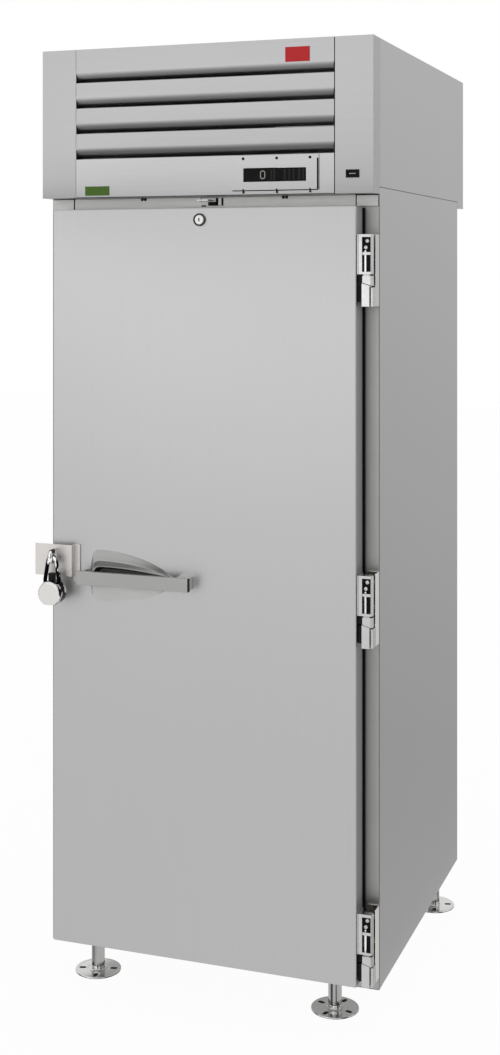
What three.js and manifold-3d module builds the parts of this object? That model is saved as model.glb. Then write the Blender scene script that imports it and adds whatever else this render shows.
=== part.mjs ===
// Single-door reach-in refrigerator with a top-mounted condensing unit.
// Millimetres. +Z is up, +Y runs from the door to the back, +X is the hinge side.
// Everything is placed from the middle of the cabinet's front face at the cabinet's
// underside. The finished group is then moved so that its origin is the middle of
// the whole object's footprint, on the floor.
import * as THREE from 'three';
import { mergeVertices } from 'three/addons/utils/BufferGeometryUtils.js';
import Module from 'manifold-3d';

const wasm = await Module();
wasm.setup();

// ---------------------------------------------------------------- driving dimensions

const SEAT = 0.3; // gap left between pieces that rest on or fit in each other
const CUT = 2; // how far a cutting body runs past the face it opens

// insulated cabinet
const CABINET_WIDTH = 730;
const CABINET_DEPTH = 739;
const CABINET_HEIGHT = 1615;
const SKIN = 1;
const LINER = 1;
const SIDE_WALL = 61;
const BACK_WALL = 61;
const FLOOR_WALL = 61;
const TOP_WALL = 70;
const FACE_FRAME = 1.5;

// strips on the front face above the door
const HEADER_BELOW_TOP = 39;
const HEADER_HEIGHT = 36;
const HEADER_END = 49;
const HEADER_STRIP_THICKNESS = 1.5;
const HEADER_STUB_THICKNESS = 3;
const HEADER_GAP = 3;

// machine-compartment hood
const HOOD_HEIGHT = 299.7;
const HOOD_REAR_OVERHANG = 65.5;
const HOOD_REAR_DROP = 15;
const HOOD_SHEET = 1.2;
const HOOD_FLANGE = 12;
const VENT_SLOTS = 9;
const VENT_SLOT_HEIGHT = 8;
const VENT_PITCH = 22;
const VENT_WIDTH = 420;

// louvred front of the hood
const FASCIA_PROJECTION = 48.5;
const FASCIA_DROP = 14.4;
const FASCIA_RETURN = 52.8;
const FASCIA_SHEET = 1.5;
const POST_WIDTH = 79;
const POST_INNER_FLANGE = 30;
const BLADE_PITCH = 53.9;
const BLADES_BELOW_BAND = 3;
const TOP_BAND = 70.2;
const BLADE_FLAT = 31;
const BLADE_CURL_DROP = 15;
const BLADE_CURL_DEPTH = 22;
const PANEL_END_DEPTH = 26;
const PANEL_GAP = 0.6;
const PANEL_PIVOT_INSET = 8;
const PANEL_PIVOT_RADIUS = 2.6;
const PANEL_PIVOT_CLEARANCE = 0.4;
const PANEL_COVER_GAP = 4;

// controls
const COVER = { fromSide: 204.2, aboveEdge: 44.9, width: 184.5, height: 71, thickness: 2 };
const WINDOW = { fromCover: -1.8, belowCover: 4.5, width: 134, height: 28, recess: 0.6 };
const CONTROLLER_DEPTH = 38;
const COVER_SCREW_RADIUS = 2.2;
const COVER_SCREW_HEAD = 1.2;
const COVER_SCREW_INSET_Z = 6;
const COVER_SCREW_SPACING = 71;
const SWITCH = { fromSide: 42.5, aboveEdge: 39.4, width: 27, height: 16, bezel: 2.4, rim: 3.2, depth: 20 };
const ROCKER_TILT = 7;

// condensing unit
const UNIT_BASE = { side: 45, front: 24, backGap: 39, thickness: 3, lip: 14 };
const COMPRESSOR = { x: -150, fromBack: 319, radius: 88, height: 190, foot: 8 };
const CONDENSER = { x: -70, width: 330, front: 50, depth: 56, height: 232 };
const SHROUD = { depth: 40, wall: 1.2, ring: 118 };
const CONDENSER_FAN = { radius: 112, blades: 5, hub: 26, width: 24 };
const FAN_MOTOR = { radius: 34, length: 62 };
const ELECTRICAL_BOX = { fromSide: 115, width: 120, front: 70, depth: 190, height: 110, wall: 1.5 };
const PIPE_RADIUS = 5;
const DRIER = { radius: 14, length: 100, fromCoil: 44, y: 290, lift: 24 };
const SUCTION = { fromCompressor: 66, behindCentre: 40, stub: 34, rise: 60, fall: 20 };
const DISCHARGE = { outlet: 60, stub: 30, offset: 44, behindCentre: 40 };
const LIQUID = { behindCoil: 60, straight: 14, bend: 18, join: 30 };
const GLAND = { fromSide: 75, aboveCabinet: 55, flange: 15, flangeDepth: 5, nose: 10, length: 20, neck: 14, bore: 5 };

// evaporator, carried under the ceiling of the storage space
const EVAPORATOR = { sideGap: 44, front: 262, backGap: 38, drop: 168, wall: 1.2, opening: 81 };
const COIL = { sideGap: 25, depth: 150, height: 120 };
const EVAPORATOR_FAN = { radius: 76, blades: 5, hub: 22, width: 20 };
const EVAPORATOR_MOTOR = { radius: 28, length: 52, shaft: 3, bracket: 14 };
const LIGHT = { sideGap: 114, depth: 34, height: 14, front: 40 };

// shelves
const SHELF_LEVELS = [330, 690, 1050];
const SHELF = { inset: 7, front: 40, backGap: 23, rod: 7, wire: 4, wires: 13 };
const RACK = { width: 24, depth: 5, front: 90, backGap: 78, bottomGap: 19, topGap: 36.7, ledge: 16, lip: 18, sheet: 2 };

// door
const DOOR_FROM_LEFT = 30;
const DOOR_FROM_RIGHT = 31.5;
const DOOR_BOTTOM = 25;
const DOOR_BELOW_TOP = 39.5;
const DOOR_FRONT = -60;
const DOOR_THICKNESS = 43;
const DOOR_SKIN = 1;
const DOOR_PANEL = 1.5;
const GASKET_INSET = 12;
const GASKET_WIDTH = 20;

// recessed pull: a teardrop dish in the door with a flat bar across it
const PULL_Z = 804.5;
const DISH = { fromEdge: 85, shoulder: 24, length: 202, halfHeight: 56, crown: 74, tip: 28, depth: 27, sheet: 1 };
const BAR = { fromEdge: 69.5, length: 252.5, height: 28, front: -92, thickness: 13 };
const BAR_BOSS = { length: 11.5, rightInset: 14, height: 22 };

// hasp plate, staple and padlock at the door's free edge
const HASP = { overhang: 2, width: 85, low: -1.5, high: 64.5, front: -78, sheet: 3, foot: 12 };
const STAPLE = { fromLeft: 49, lift: 42.5, reach: 34, height: 30, thickness: 5, hole: 6.8 };
const SHACKLE = { rest: 0.7, rod: 4.3, halfSpan: 13, straight: 39, heel: 26, toe: 8 };
const PADLOCK = { radius: 24, thickness: 36, flat: 3, clearance: 0.4, edge: 2.5 };

// key lock at the top of the door
const LOCK_BELOW_TOP = 24.5;
const LOCK = { plug: 10.4, proud: 3, depth: 14, keyway: 2, keywayHeight: 9, keywayDepth: 5 };
const BOLT = { width: 12, thickness: 6, length: 40, travel: 18, inset: 1.5, setBack: 18 };
const BOLT_CLEARANCE = 0.5;
const KEEPER = { left: -20, right: 27, low: 2, high: 22, shelf: 12, reach: 46, sheet: 2.5 };

// lift-off hinges with a sloping cam between their halves
const HINGE_BELOW_DOOR = 5;
const HINGE_MIDDLE = 698;
const HINGE_UPPER_DROP = 200.5;
const HINGE_FROM_SIDE = 16;
const HINGE_Y = -48;
const HINGE = {
  barrelTop: 45, frameBottom: 64, top: 144, half: 9, slope: 0.3, camGap: 0.5,
  frameLeft: -12.7, frameRight: 10, frameFront: -8, frameBack: 8, frameBar: 4, frameWall: 3, leaf: 2.5,
  leafBack: 28, stripGap: 0.5, strip: 3, stripFront: -2, footLeft: -6, footSheet: 3,
};
const PIN = { radius: 3.5, bottom: 6, top: 112, collar: 4.6, collarAt: 103, collarHeight: 5, clearance: 0.35 };
const HINGE_SCREW = { radius: 4, height: 4, levels: [120, 131] };

// legs
const LEG_HEIGHT = 83;
const LEG = { radius: 14.3, bore: 10.4, plate: 2, sides: 16 };
const FOOT = {
  radius: 50, thickness: 3, stem: 10, engagement: 44, collar: 9, slotRadius: 34, slotLength: 14, slotWidth: 6,
};
const FRONT_LEGS = { y: 66, fromLeft: 77, fromRight: 113 };
const REAR_LEGS = { fromBack: 87, fromSide: 40 };

// ---------------------------------------------------------------- sizes worked out from them

const halfWidth = CABINET_WIDTH / 2;
const insideX = halfWidth - SIDE_WALL;
const insideBack = CABINET_DEPTH - BACK_WALL;
const insideBottom = FLOOR_WALL;
const insideTop = CABINET_HEIGHT - TOP_WALL;
const hoodTop = CABINET_HEIGHT + HOOD_HEIGHT;
const hoodBack = CABINET_DEPTH + HOOD_REAR_OVERHANG;
const fasciaBottom = CABINET_HEIGHT - FASCIA_DROP;
const fasciaFront = -FASCIA_PROJECTION;
const fasciaBack = fasciaFront + FASCIA_RETURN;
const coverFront = fasciaFront + PANEL_PIVOT_INSET * 2 + PANEL_COVER_GAP;
const panelHalf = halfWidth - POST_WIDTH - PANEL_GAP;
const doorBack = DOOR_FRONT + DOOR_THICKNESS;
const doorLeft = -halfWidth + DOOR_FROM_LEFT;
const doorRight = halfWidth - DOOR_FROM_RIGHT;
const doorTop = CABINET_HEIGHT - DOOR_BELOW_TOP;
const headerBottom = CABINET_HEIGHT - HEADER_BELOW_TOP;
const headerTop = headerBottom + HEADER_HEIGHT;
const lockZ = doorTop - LOCK_BELOW_TOP;
const hingeX = halfWidth - HINGE_FROM_SIDE;
const hingeBases = [DOOR_BOTTOM - HINGE_BELOW_DOOR, HINGE_MIDDLE, doorTop - HINGE_UPPER_DROP];
const dishLeft = doorLeft + DISH.fromEdge;
const dishShoulder = dishLeft + DISH.shoulder;
const dishRight = dishLeft + DISH.length;
const barLeft = doorLeft + BAR.fromEdge;
const barRight = barLeft + BAR.length;
const haspLeft = -halfWidth - HASP.overhang;
const haspRight = haspLeft + HASP.width;
const haspBottom = PULL_Z + HASP.low;
const haspTop = PULL_Z + HASP.high;
const stapleX = haspLeft + STAPLE.fromLeft;
const stapleZ = PULL_Z + STAPLE.lift;
const keeperBottom = headerBottom + KEEPER.low;
const keeperTop = headerBottom + KEEPER.high;
const keeperShelf = headerBottom + KEEPER.shelf;
const coverX = halfWidth - COVER.fromSide;
const coverZ = fasciaBottom + COVER.aboveEdge;
const windowX = coverX + WINDOW.fromCover;
const windowZ = coverZ - WINDOW.belowCover;
const switchX = halfWidth - SWITCH.fromSide;
const switchZ = fasciaBottom + SWITCH.aboveEdge;
const evaporatorTop = insideTop - SEAT;
const evaporatorBottom = evaporatorTop - EVAPORATOR.drop;
const evaporatorHalf = insideX - EVAPORATOR.sideGap;
const evaporatorBack = insideBack - EVAPORATOR.backGap;
const coilHalf = evaporatorHalf - COIL.sideGap;
const lightHalf = insideX - LIGHT.sideGap;
const rackBottom = insideBottom + RACK.bottomGap;
const rackTop = evaporatorBottom - RACK.topGap;
const rackBack = insideBack - RACK.backGap;
const shelfBack = insideBack - SHELF.backGap;
const unitHalf = halfWidth - UNIT_BASE.side;
const unitBack = CABINET_DEPTH - UNIT_BASE.backGap;
const compressorY = CABINET_DEPTH - COMPRESSOR.fromBack;
const glandX = -halfWidth + GLAND.fromSide;
const glandZ = CABINET_HEIGHT + GLAND.aboveCabinet;
const legFrameTop = SKIN + SEAT + LEG.plate;
const deckZ = CABINET_HEIGHT + SEAT + UNIT_BASE.thickness;

// ---------------------------------------------------------------- materials

function finish(color, roughness, metalness) {
  return new THREE.MeshStandardMaterial({ color, roughness, metalness });
}
const stainless = finish(0xb9bbbd, 0.38, 0.9);
const polished = finish(0xd4d5d6, 0.12, 1.0);
const galvanised = finish(0xa7adb0, 0.5, 0.8);
const aluminium = finish(0xc9ccce, 0.35, 0.9);
const copper = finish(0xb0704a, 0.35, 0.9);
const foam = finish(0xd9c78a, 0.95, 0.0);
const blackEnamel = finish(0x1b1c1e, 0.45, 0.2);
const blackPlastic = finish(0x161718, 0.5, 0.0);
const greyRubber = finish(0x55585b, 0.8, 0.0);
const lampPlastic = finish(0xf2f3ee, 0.4, 0.0);

// ---------------------------------------------------------------- shaping helpers

// A box given by its low and high sides along X, Y and Z.
function box(x0, x1, y0, y1, z0, z1) {
  const shape = new THREE.BoxGeometry(x1 - x0, y1 - y0, z1 - z0);
  return shape.translate((x0 + x1) / 2, (y0 + y1) / 2, (z0 + z1) / 2);
}

// A flat plate standing in the XZ plane, given by centre, size and its Y range.
function facePlate(x, z, width, height, y0, y1) {
  return box(x - width / 2, x + width / 2, y0, y1, z - height / 2, z + height / 2);
}

// A round bar along Z.
function rod(radius, z0, z1, sides = 16) {
  const bar = new THREE.CylinderGeometry(radius, radius, z1 - z0, sides);
  return bar.rotateX(Math.PI / 2).translate(0, 0, (z0 + z1) / 2);
}

// A turned piece about Z. The profile is a closed list of [radius, z].
function turned(profile, sides = 16) {
  const points = profile.map(([r, z]) => new THREE.Vector2(r, z));
  return new THREE.LatheGeometry(points, sides).rotateX(Math.PI / 2);
}

// A shape drawn in the YZ plane, extruded along X.
function alongX(points, x0, x1) {
  const shape = new THREE.Shape(points.map(([y, z]) => new THREE.Vector2(y, z)));
  const body = new THREE.ExtrudeGeometry(shape, { depth: x1 - x0, bevelEnabled: false });
  body.rotateX(Math.PI / 2).rotateZ(Math.PI / 2);
  return body.translate(x0, 0, 0);
}

// A shape drawn in the XZ plane, extruded along Y.
function alongY(shape, y0, y1, curveSegments = 6) {
  const settings = { depth: y1 - y0, bevelEnabled: false, curveSegments };
  const body = new THREE.ExtrudeGeometry(shape, settings);
  return body.rotateX(Math.PI / 2).translate(0, y1, 0);
}

function polygonShape(points) {
  return new THREE.Shape(points.map(([x, z]) => new THREE.Vector2(x, z)));
}

// A pipe through points, with rounded corners from the curve between them.
function pipe(points, radius, steps, sides = 8) {
  const curve = new THREE.CatmullRomCurve3(points.map((p) => new THREE.Vector3(...p)), false, 'centripetal');
  const section = new THREE.Shape();
  for (let i = 0; i < sides; i += 1) {
    const turn = (i / sides) * Math.PI * 2;
    const x = radius * Math.cos(turn);
    const y = radius * Math.sin(turn);
    if (i === 0) section.moveTo(x, y);
    else section.lineTo(x, y);
  }
  return new THREE.ExtrudeGeometry(section, { steps, extrudePath: curve, bevelEnabled: false });
}

function toSolid(geometry) {
  const bare = geometry.clone();
  bare.deleteAttribute('normal');
  bare.deleteAttribute('uv');
  const merged = mergeVertices(bare, 1e-4);
  return new wasm.Manifold(new wasm.Mesh({
    numProp: 3,
    vertProperties: new Float32Array(merged.attributes.position.array),
    triVerts: new Uint32Array(merged.index.array),
  }));
}

function toGeometry(solid) {
  const mesh = solid.getMesh();
  const geometry = new THREE.BufferGeometry();
  geometry.setAttribute('position', new THREE.BufferAttribute(new Float32Array(mesh.vertProperties), 3));
  geometry.setIndex(new THREE.BufferAttribute(new Uint32Array(mesh.triVerts), 1));
  return geometry;
}

function join(...geometries) {
  return toGeometry(geometries.map(toSolid).reduce((whole, piece) => whole.add(piece)));
}

function cut(geometry, ...tools) {
  return toGeometry(tools.map(toSolid).reduce((rest, tool) => rest.subtract(tool), toSolid(geometry)));
}

function node(parent, name, geometry, material) {
  geometry.computeVertexNormals();
  const mesh = new THREE.Mesh(geometry, material);
  mesh.name = name;
  parent.add(mesh);
  return mesh;
}

function groupAt(parent, x, y, z) {
  const group = new THREE.Group();
  group.position.set(x, y, z);
  parent.add(group);
  return group;
}

// ---------------------------------------------------------------- cabinet

function addCabinet(parent) {
  const w = halfWidth;
  const legHoles = legPlaces().map(([x, y]) => rod(LEG.radius + SEAT, -CUT, SKIN + CUT, LEG.sides).translate(x, y, 0));
  const shell = cut(
    box(-w, w, 0, CABINET_DEPTH, 0, CABINET_HEIGHT),
    box(-w + SKIN, w - SKIN, -CUT, CABINET_DEPTH - SKIN, SKIN, CABINET_HEIGHT - SKIN),
    ...legHoles,
  );
  node(parent, 'cabinet_outer_shell', shell, stainless);

  // Front frame round the opening, with the header strip and its two stubs raised on it.
  const edge = w - SKIN - SEAT;
  const stripHalf = w - HEADER_END;
  const stubInner = stripHalf + HEADER_GAP;
  const stubOuter = w - FASCIA_SHEET - SEAT;
  const half = FACE_FRAME / 2;
  const frame = join(
    box(-edge, edge, 0, FACE_FRAME, SKIN + SEAT, CABINET_HEIGHT - SKIN - SEAT),
    box(-stripHalf, stripHalf, -HEADER_STRIP_THICKNESS, half, headerBottom, headerTop),
    box(-stubOuter, -stubInner, -HEADER_STUB_THICKNESS, half, headerBottom, headerTop),
    box(stubInner, stubOuter, -HEADER_STUB_THICKNESS, half, headerBottom, headerTop),
  );
  node(parent, 'cabinet_face_frame', cut(frame, box(
    -insideX, insideX, -CUT, FACE_FRAME + CUT, insideBottom, insideTop,
  )), stainless);

  const liningFront = FACE_FRAME + SEAT;
  const liner = cut(
    box(-insideX - LINER, insideX + LINER, liningFront, insideBack + LINER, insideBottom - LINER, insideTop + LINER),
    box(-insideX, insideX, liningFront - CUT, insideBack, insideBottom, insideTop),
  );
  node(parent, 'cabinet_inner_liner', liner, aluminium);

  // Foam fills the walls between the skin and the liner.
  const gap = LINER + SEAT;
  const foamBack = CABINET_DEPTH - SKIN - SEAT;
  node(parent, 'cabinet_insulation', cut(
    box(-edge, edge, liningFront, foamBack, legFrameTop + SEAT, CABINET_HEIGHT - SKIN - SEAT),
    box(-insideX - gap, insideX + gap, liningFront - CUT, insideBack + gap, insideBottom - gap, insideTop + gap),
  ), foam);

  // Angle bracket with a hole over the door's bolt.
  const keeperBack = -HEADER_STRIP_THICKNESS - SEAT;
  const boltY = DOOR_FRONT + BOLT.setBack + BOLT.thickness / 2;
  const room = BOLT_CLEARANCE * 3;
  const bracket = join(
    box(KEEPER.left, KEEPER.right, keeperBack - KEEPER.sheet, keeperBack, keeperBottom, keeperTop),
    box(KEEPER.left, KEEPER.right, -KEEPER.reach, keeperBack, keeperShelf, keeperShelf + KEEPER.sheet),
  );
  node(parent, 'door_lock_keeper', cut(bracket, box(
    -BOLT.width / 2 - room, BOLT.width / 2 + room,
    boltY - BOLT.thickness / 2 - room, boltY + BOLT.thickness / 2 + room,
    keeperShelf - CUT, keeperShelf + KEEPER.sheet + CUT,
  )), polished);
}

// ---------------------------------------------------------------- shelves and their racks

// A rack on each side wall: two uprights and an angle ledge under each shelf.
function addShelving(parent) {
  const r = RACK;
  const wall = insideX - SEAT;
  for (const [name, side] of [['shelf_rack_left', -1], ['shelf_rack_right', 1]]) {
    const bar = (outer, inner, y0, y1, z0, z1) => box(
      Math.min(side * outer, side * inner), Math.max(side * outer, side * inner), y0, y1, z0, z1,
    );
    const pieces = [r.front, rackBack].map((y) => bar(
      wall, wall - r.depth, y - r.width / 2, y + r.width / 2, rackBottom, rackTop,
    ));
    const ends = [r.front - r.width / 2, rackBack + r.width / 2];
    for (const level of SHELF_LEVELS) {
      pieces.push(bar(wall - r.depth / 2, wall - r.depth - r.sheet, ...ends, level - r.lip, level));
      pieces.push(bar(wall - r.depth / 2, wall - r.depth - r.ledge, ...ends, level - r.sheet, level));
    }
    node(parent, name, join(...pieces), stainless);
  }

  const names = ['shelf_lower', 'shelf_middle', 'shelf_upper'];
  SHELF_LEVELS.forEach((level, i) => {
    const shelf = groupAt(parent, 0, 0, level + SEAT);
    node(shelf, names[i], wireShelf(), polished);
  });
}

// A border and two cross rods, with wires from front to back resting in them.
function wireShelf() {
  const { front, rod: r, wire, wires } = SHELF;
  const back = shelfBack;
  const x = insideX - SHELF.inset;
  const pieces = [
    box(-x, -x + r, front, back, 0, r),
    box(x - r, x, front, back, 0, r),
    box(-x, x, front, front + r, 0, r),
    box(-x, x, back - r, back, 0, r),
  ];
  for (let i = 1; i <= 2; i += 1) {
    const y = front + ((back - front) * i) / 3;
    pieces.push(box(-x, x, y - r / 2, y + r / 2, 0, r));
  }
  for (let i = 1; i <= wires; i += 1) {
    const at = -x + (2 * x * i) / (wires + 1);
    pieces.push(box(at - wire / 2, at + wire / 2, front + r / 2, back - r / 2, r - wire / 2, r + wire / 2));
  }
  return join(...pieces);
}

// ---------------------------------------------------------------- evaporator

// A fan with twisted blades on a hub, turning about its own Z.
function fanWheel({ radius, blades, hub, width }) {
  const pieces = [rod(hub, -width / 2, width / 2, 16)];
  const root = hub - 3;
  for (let i = 0; i < blades; i += 1) {
    const blade = new THREE.BoxGeometry(radius - root, radius * 0.52, 2);
    blade.rotateX(0.45);
    blade.translate((radius + root) / 2, 0, 0);
    blade.rotateZ((i / blades) * Math.PI * 2);
    pieces.push(blade);
  }
  return join(...pieces);
}

function addEvaporator(parent) {
  const e = EVAPORATOR;
  const top = evaporatorTop;
  const bottom = evaporatorBottom;
  const half = evaporatorHalf;
  const back = evaporatorBack;
  const centreZ = (top + bottom) / 2;
  const opening = rod(e.opening, -CUT, e.wall + CUT, 20).rotateX(Math.PI / 2).translate(0, e.front + e.wall, centreZ);
  const casing = cut(
    box(-half, half, e.front, back, bottom, top),
    box(-half + e.wall, half - e.wall, e.front + e.wall, back + CUT, bottom + e.wall, top + CUT),
    opening,
  );
  // Finned block, hung from the ceiling, with its return bends at both ends.
  const coilBack = back - 12;
  const coilFront = coilBack - COIL.depth;
  const fins = [box(-coilHalf, coilHalf, coilFront, coilBack, top - COIL.height, top)];
  const bendStep = COIL.height / 4;
  for (const side of [-1, 1]) {
    for (let i = 0; i < 3; i += 1) {
      const z = top - bendStep * (i + 1);
      const x = side * (coilHalf + 4);
      fins.push(box(x - 6, x + 6, coilFront + 30, coilBack - 30, z - 5, z + 5));
    }
  }
  node(parent, 'evaporator_coil', join(...fins), aluminium);

  const fanY = e.front + e.wall + 6 + EVAPORATOR_FAN.width / 2;
  const fan = groupAt(parent, 0, fanY, centreZ);
  fan.rotation.x = Math.PI / 2;
  node(fan, 'evaporator_fan', cut(
    fanWheel(EVAPORATOR_FAN),
    rod(EVAPORATOR_MOTOR.shaft + 0.4, -EVAPORATOR_FAN.width, EVAPORATOR_FAN.width, 12),
  ), blackPlastic);

  // Housing with the motor on its bracket, and the motor's shaft in the fan's hub.
  const motorFront = fanY + EVAPORATOR_FAN.width / 2 + 2;
  const m = EVAPORATOR_MOTOR;
  const deck = bottom + e.wall / 2;
  node(parent, 'evaporator_housing', join(
    casing,
    rod(m.radius, 0, m.length, 16).rotateX(-Math.PI / 2).translate(0, motorFront, centreZ),
    rod(m.shaft, 0, EVAPORATOR_FAN.width, 12).rotateX(Math.PI / 2).translate(0, motorFront + 1, centreZ),
    box(-m.bracket, m.bracket, motorFront + 14, motorFront + 17, deck, centreZ),
  ), aluminium);

  node(parent, 'interior_light', box(
    -lightHalf, lightHalf, LIGHT.front, LIGHT.front + LIGHT.depth, top - LIGHT.height, top,
  ), lampPlastic);
}

// ---------------------------------------------------------------- hood

function addHood(parent) {
  const w = halfWidth;
  const bottom = CABINET_HEIGHT + SEAT;
  const sheet = HOOD_SHEET;
  const behind = CABINET_DEPTH + SEAT;
  for (const [name, side] of [['hood_side_left', -1], ['hood_side_right', 1]]) {
    const outline = [
      [fasciaBack + SEAT, bottom], [behind, bottom], [behind, CABINET_HEIGHT - HOOD_REAR_DROP],
      [hoodBack, CABINET_HEIGHT - HOOD_REAR_DROP], [hoodBack, hoodTop], [fasciaBack + SEAT, hoodTop],
    ];
    const outer = side * w;
    const inner = side * (w - sheet);
    node(parent, name, alongX(outline, Math.min(outer, inner), Math.max(outer, inner)), stainless);
  }

  // Top cover with a turned-down edge on both sides and vent slots over the unit.
  const edge = w - sheet - SEAT;
  const topBack = hoodBack;
  const slots = [];
  for (let i = 0; i < VENT_SLOTS; i += 1) {
    const y = CABINET_DEPTH / 2 + (i - (VENT_SLOTS - 1) / 2) * VENT_PITCH;
    slots.push(box(
      -VENT_WIDTH / 2, VENT_WIDTH / 2,
      y - VENT_SLOT_HEIGHT / 2, y + VENT_SLOT_HEIGHT / 2, hoodTop - sheet - CUT, hoodTop + CUT,
    ));
  }
  const coverEdge = Math.min(edge, w - FASCIA_SHEET - SEAT);
  const flangeBack = hoodBack - sheet - SEAT;
  const cover = join(
    box(-coverEdge, coverEdge, coverFront, topBack, hoodTop - sheet, hoodTop),
    box(-coverEdge, -coverEdge + sheet, fasciaBack + SEAT, flangeBack, hoodTop - HOOD_FLANGE, hoodTop),
    box(coverEdge - sheet, coverEdge, fasciaBack + SEAT, flangeBack, hoodTop - HOOD_FLANGE, hoodTop),
  );
  node(parent, 'hood_top_cover', cut(cover, ...slots), stainless);

  // Back sheet, turned forward under the overhang, with its own vent slots.
  const underside = CABINET_HEIGHT - HOOD_REAR_DROP;
  const backVents = [];
  for (let i = 0; i < VENT_SLOTS; i += 1) {
    const z = (underside + hoodTop) / 2 + (i - (VENT_SLOTS - 1) / 2) * VENT_PITCH;
    backVents.push(box(
      -VENT_WIDTH / 2, VENT_WIDTH / 2,
      hoodBack - sheet - CUT, hoodBack + CUT, z - VENT_SLOT_HEIGHT / 2, z + VENT_SLOT_HEIGHT / 2,
    ));
  }
  const gland = rod(GLAND.nose, -CUT, sheet + CUT, 16).rotateX(Math.PI / 2)
    .translate(glandX, hoodBack, glandZ);
  const backSheet = join(
    box(-edge, edge, hoodBack - sheet, hoodBack, underside, hoodTop - sheet - SEAT),
    box(-edge, edge, behind, hoodBack - sheet / 2, underside, underside + sheet),
  );
  node(parent, 'hood_back', cut(backSheet, ...backVents, gland), stainless);

  // Bushing for the supply cord: a neck through the sheet, a flange and a nose outside it.
  const g = GLAND;
  node(parent, 'cord_inlet_gland', turned([
    [g.bore, -g.neck], [g.nose - SEAT, -g.neck], [g.nose - SEAT, SEAT], [g.flange, SEAT],
    [g.flange, g.flangeDepth], [g.nose, g.flangeDepth], [g.nose - 2, g.length], [g.bore, g.length],
    [g.bore, -g.neck],
  ]).rotateX(-Math.PI / 2).translate(glandX, hoodBack, glandZ), blackPlastic);
}

// ---------------------------------------------------------------- hood front

function addFasciaPosts(parent) {
  const w = halfWidth;
  const innerX = w - POST_WIDTH;
  const pivotY = fasciaFront + PANEL_PIVOT_INSET;
  const pivotZ = hoodTop - PANEL_PIVOT_INSET;
  const pivotHole = PANEL_PIVOT_RADIUS + PANEL_PIVOT_CLEARANCE;
  const rocker = SWITCH;
  for (const [name, side] of [['fascia_post_left', -1], ['fascia_post_right', 1]]) {
    const span = (a, b) => [Math.min(side * a, side * b), Math.max(side * a, side * b)];
    const [f0, f1] = span(innerX, w);
    const [o0, o1] = span(w - FASCIA_SHEET, w);
    const [i0, i1] = span(innerX, innerX + FASCIA_SHEET);
    const channel = join(
      box(f0, f1, fasciaFront, fasciaFront + FASCIA_SHEET, fasciaBottom, hoodTop),
      box(o0, o1, fasciaFront, -SEAT, fasciaBottom, hoodTop),
      box(o0, o1, fasciaFront, fasciaBack, CABINET_HEIGHT + SEAT, hoodTop),
      box(i0, i1, fasciaFront, coverFront - SEAT, fasciaBottom, hoodTop),
      box(i0, i1, fasciaFront, fasciaFront + POST_INNER_FLANGE, fasciaBottom, hoodTop - HOOD_SHEET - SEAT),
      box(f0, f1, fasciaFront, -SEAT * 2 - HEADER_STUB_THICKNESS, fasciaBottom, fasciaBottom + FASCIA_SHEET),
      box(f0, f1, fasciaFront, coverFront - SEAT, hoodTop - FASCIA_SHEET, hoodTop),
    );
    const tools = [
      rod(pivotHole, -CUT, FASCIA_SHEET + CUT, 12).rotateY(Math.PI / 2).translate(i0, pivotY, pivotZ),
    ];
    if (side > 0) {
      tools.push(facePlate(
        switchX, switchZ, rocker.width - rocker.rim, rocker.height - rocker.rim,
        fasciaFront - CUT, fasciaFront + FASCIA_SHEET + CUT,
      ));
    }
    node(parent, name, cut(channel, ...tools), stainless);
  }
}

// One blade: a flat face that curls inwards at its lower edge.
function bladeProfile(top, flat) {
  const t = FASCIA_SHEET;
  const y = fasciaFront;
  const outer = [[y, top], [y, top - flat]];
  const inner = [];
  const steps = 5;
  for (let i = 1; i <= steps; i += 1) {
    const a = (i / steps) * (Math.PI / 2);
    const dy = BLADE_CURL_DEPTH * (1 - Math.cos(a));
    const dz = BLADE_CURL_DROP * Math.sin(a);
    outer.push([y + dy, top - flat - dz]);
    inner.push([y + t + (BLADE_CURL_DEPTH - t) * (1 - Math.cos(a)), top - flat - dz + (t * i) / steps]);
  }
  return [...outer, ...inner.reverse(), [y + t, top - flat], [y + t, top]];
}

function addLouvrePanel(parent) {
  const half = panelHalf;
  const top = hoodTop;
  const sheet = FASCIA_SHEET;
  const bandBottom = top - TOP_BAND;
  const controlTop = bandBottom - BLADE_PITCH * BLADES_BELOW_BAND;
  const pivotY = fasciaFront + PANEL_PIVOT_INSET;
  const pivotZ = top - PANEL_PIVOT_INSET;
  const reach = PANEL_GAP + FASCIA_SHEET;
  const pieces = [
    alongX(bladeProfile(top, TOP_BAND - BLADE_PITCH + BLADE_FLAT), -half, half),
    box(-half, half, fasciaFront, pivotY + PANEL_PIVOT_INSET, top - sheet, top),
  ];
  for (let i = 0; i < BLADES_BELOW_BAND; i += 1) {
    pieces.push(alongX(bladeProfile(bandBottom - BLADE_PITCH * i, BLADE_FLAT), -half, half));
  }
  pieces.push(box(-half, half, fasciaFront, fasciaFront + sheet, fasciaBottom, controlTop));
  pieces.push(box(-half, half, fasciaFront, fasciaFront + PANEL_END_DEPTH, fasciaBottom, fasciaBottom + sheet));
  for (const side of [-1, 1]) {
    const outer = side * half;
    const inner = side * (half - sheet);
    pieces.push(box(
      Math.min(outer, inner), Math.max(outer, inner),
      fasciaFront, fasciaFront + PANEL_END_DEPTH, fasciaBottom, top - PANEL_PIVOT_INSET / 2,
    ));
    const pin = rod(PANEL_PIVOT_RADIUS, 0, reach + sheet / 2, 12).rotateY(side * Math.PI / 2);
    pieces.push(pin.translate(side * (half - sheet / 2), pivotY, pivotZ));
  }
  const depth = [fasciaFront - CUT, fasciaFront + sheet + CUT];
  const panel = cut(
    join(...pieces),
    facePlate(windowX, windowZ, WINDOW.width + 2 * SEAT, WINDOW.height + 2 * SEAT, ...depth),
  );
  node(parent, 'louvre_panel', panel, stainless);
}

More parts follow.
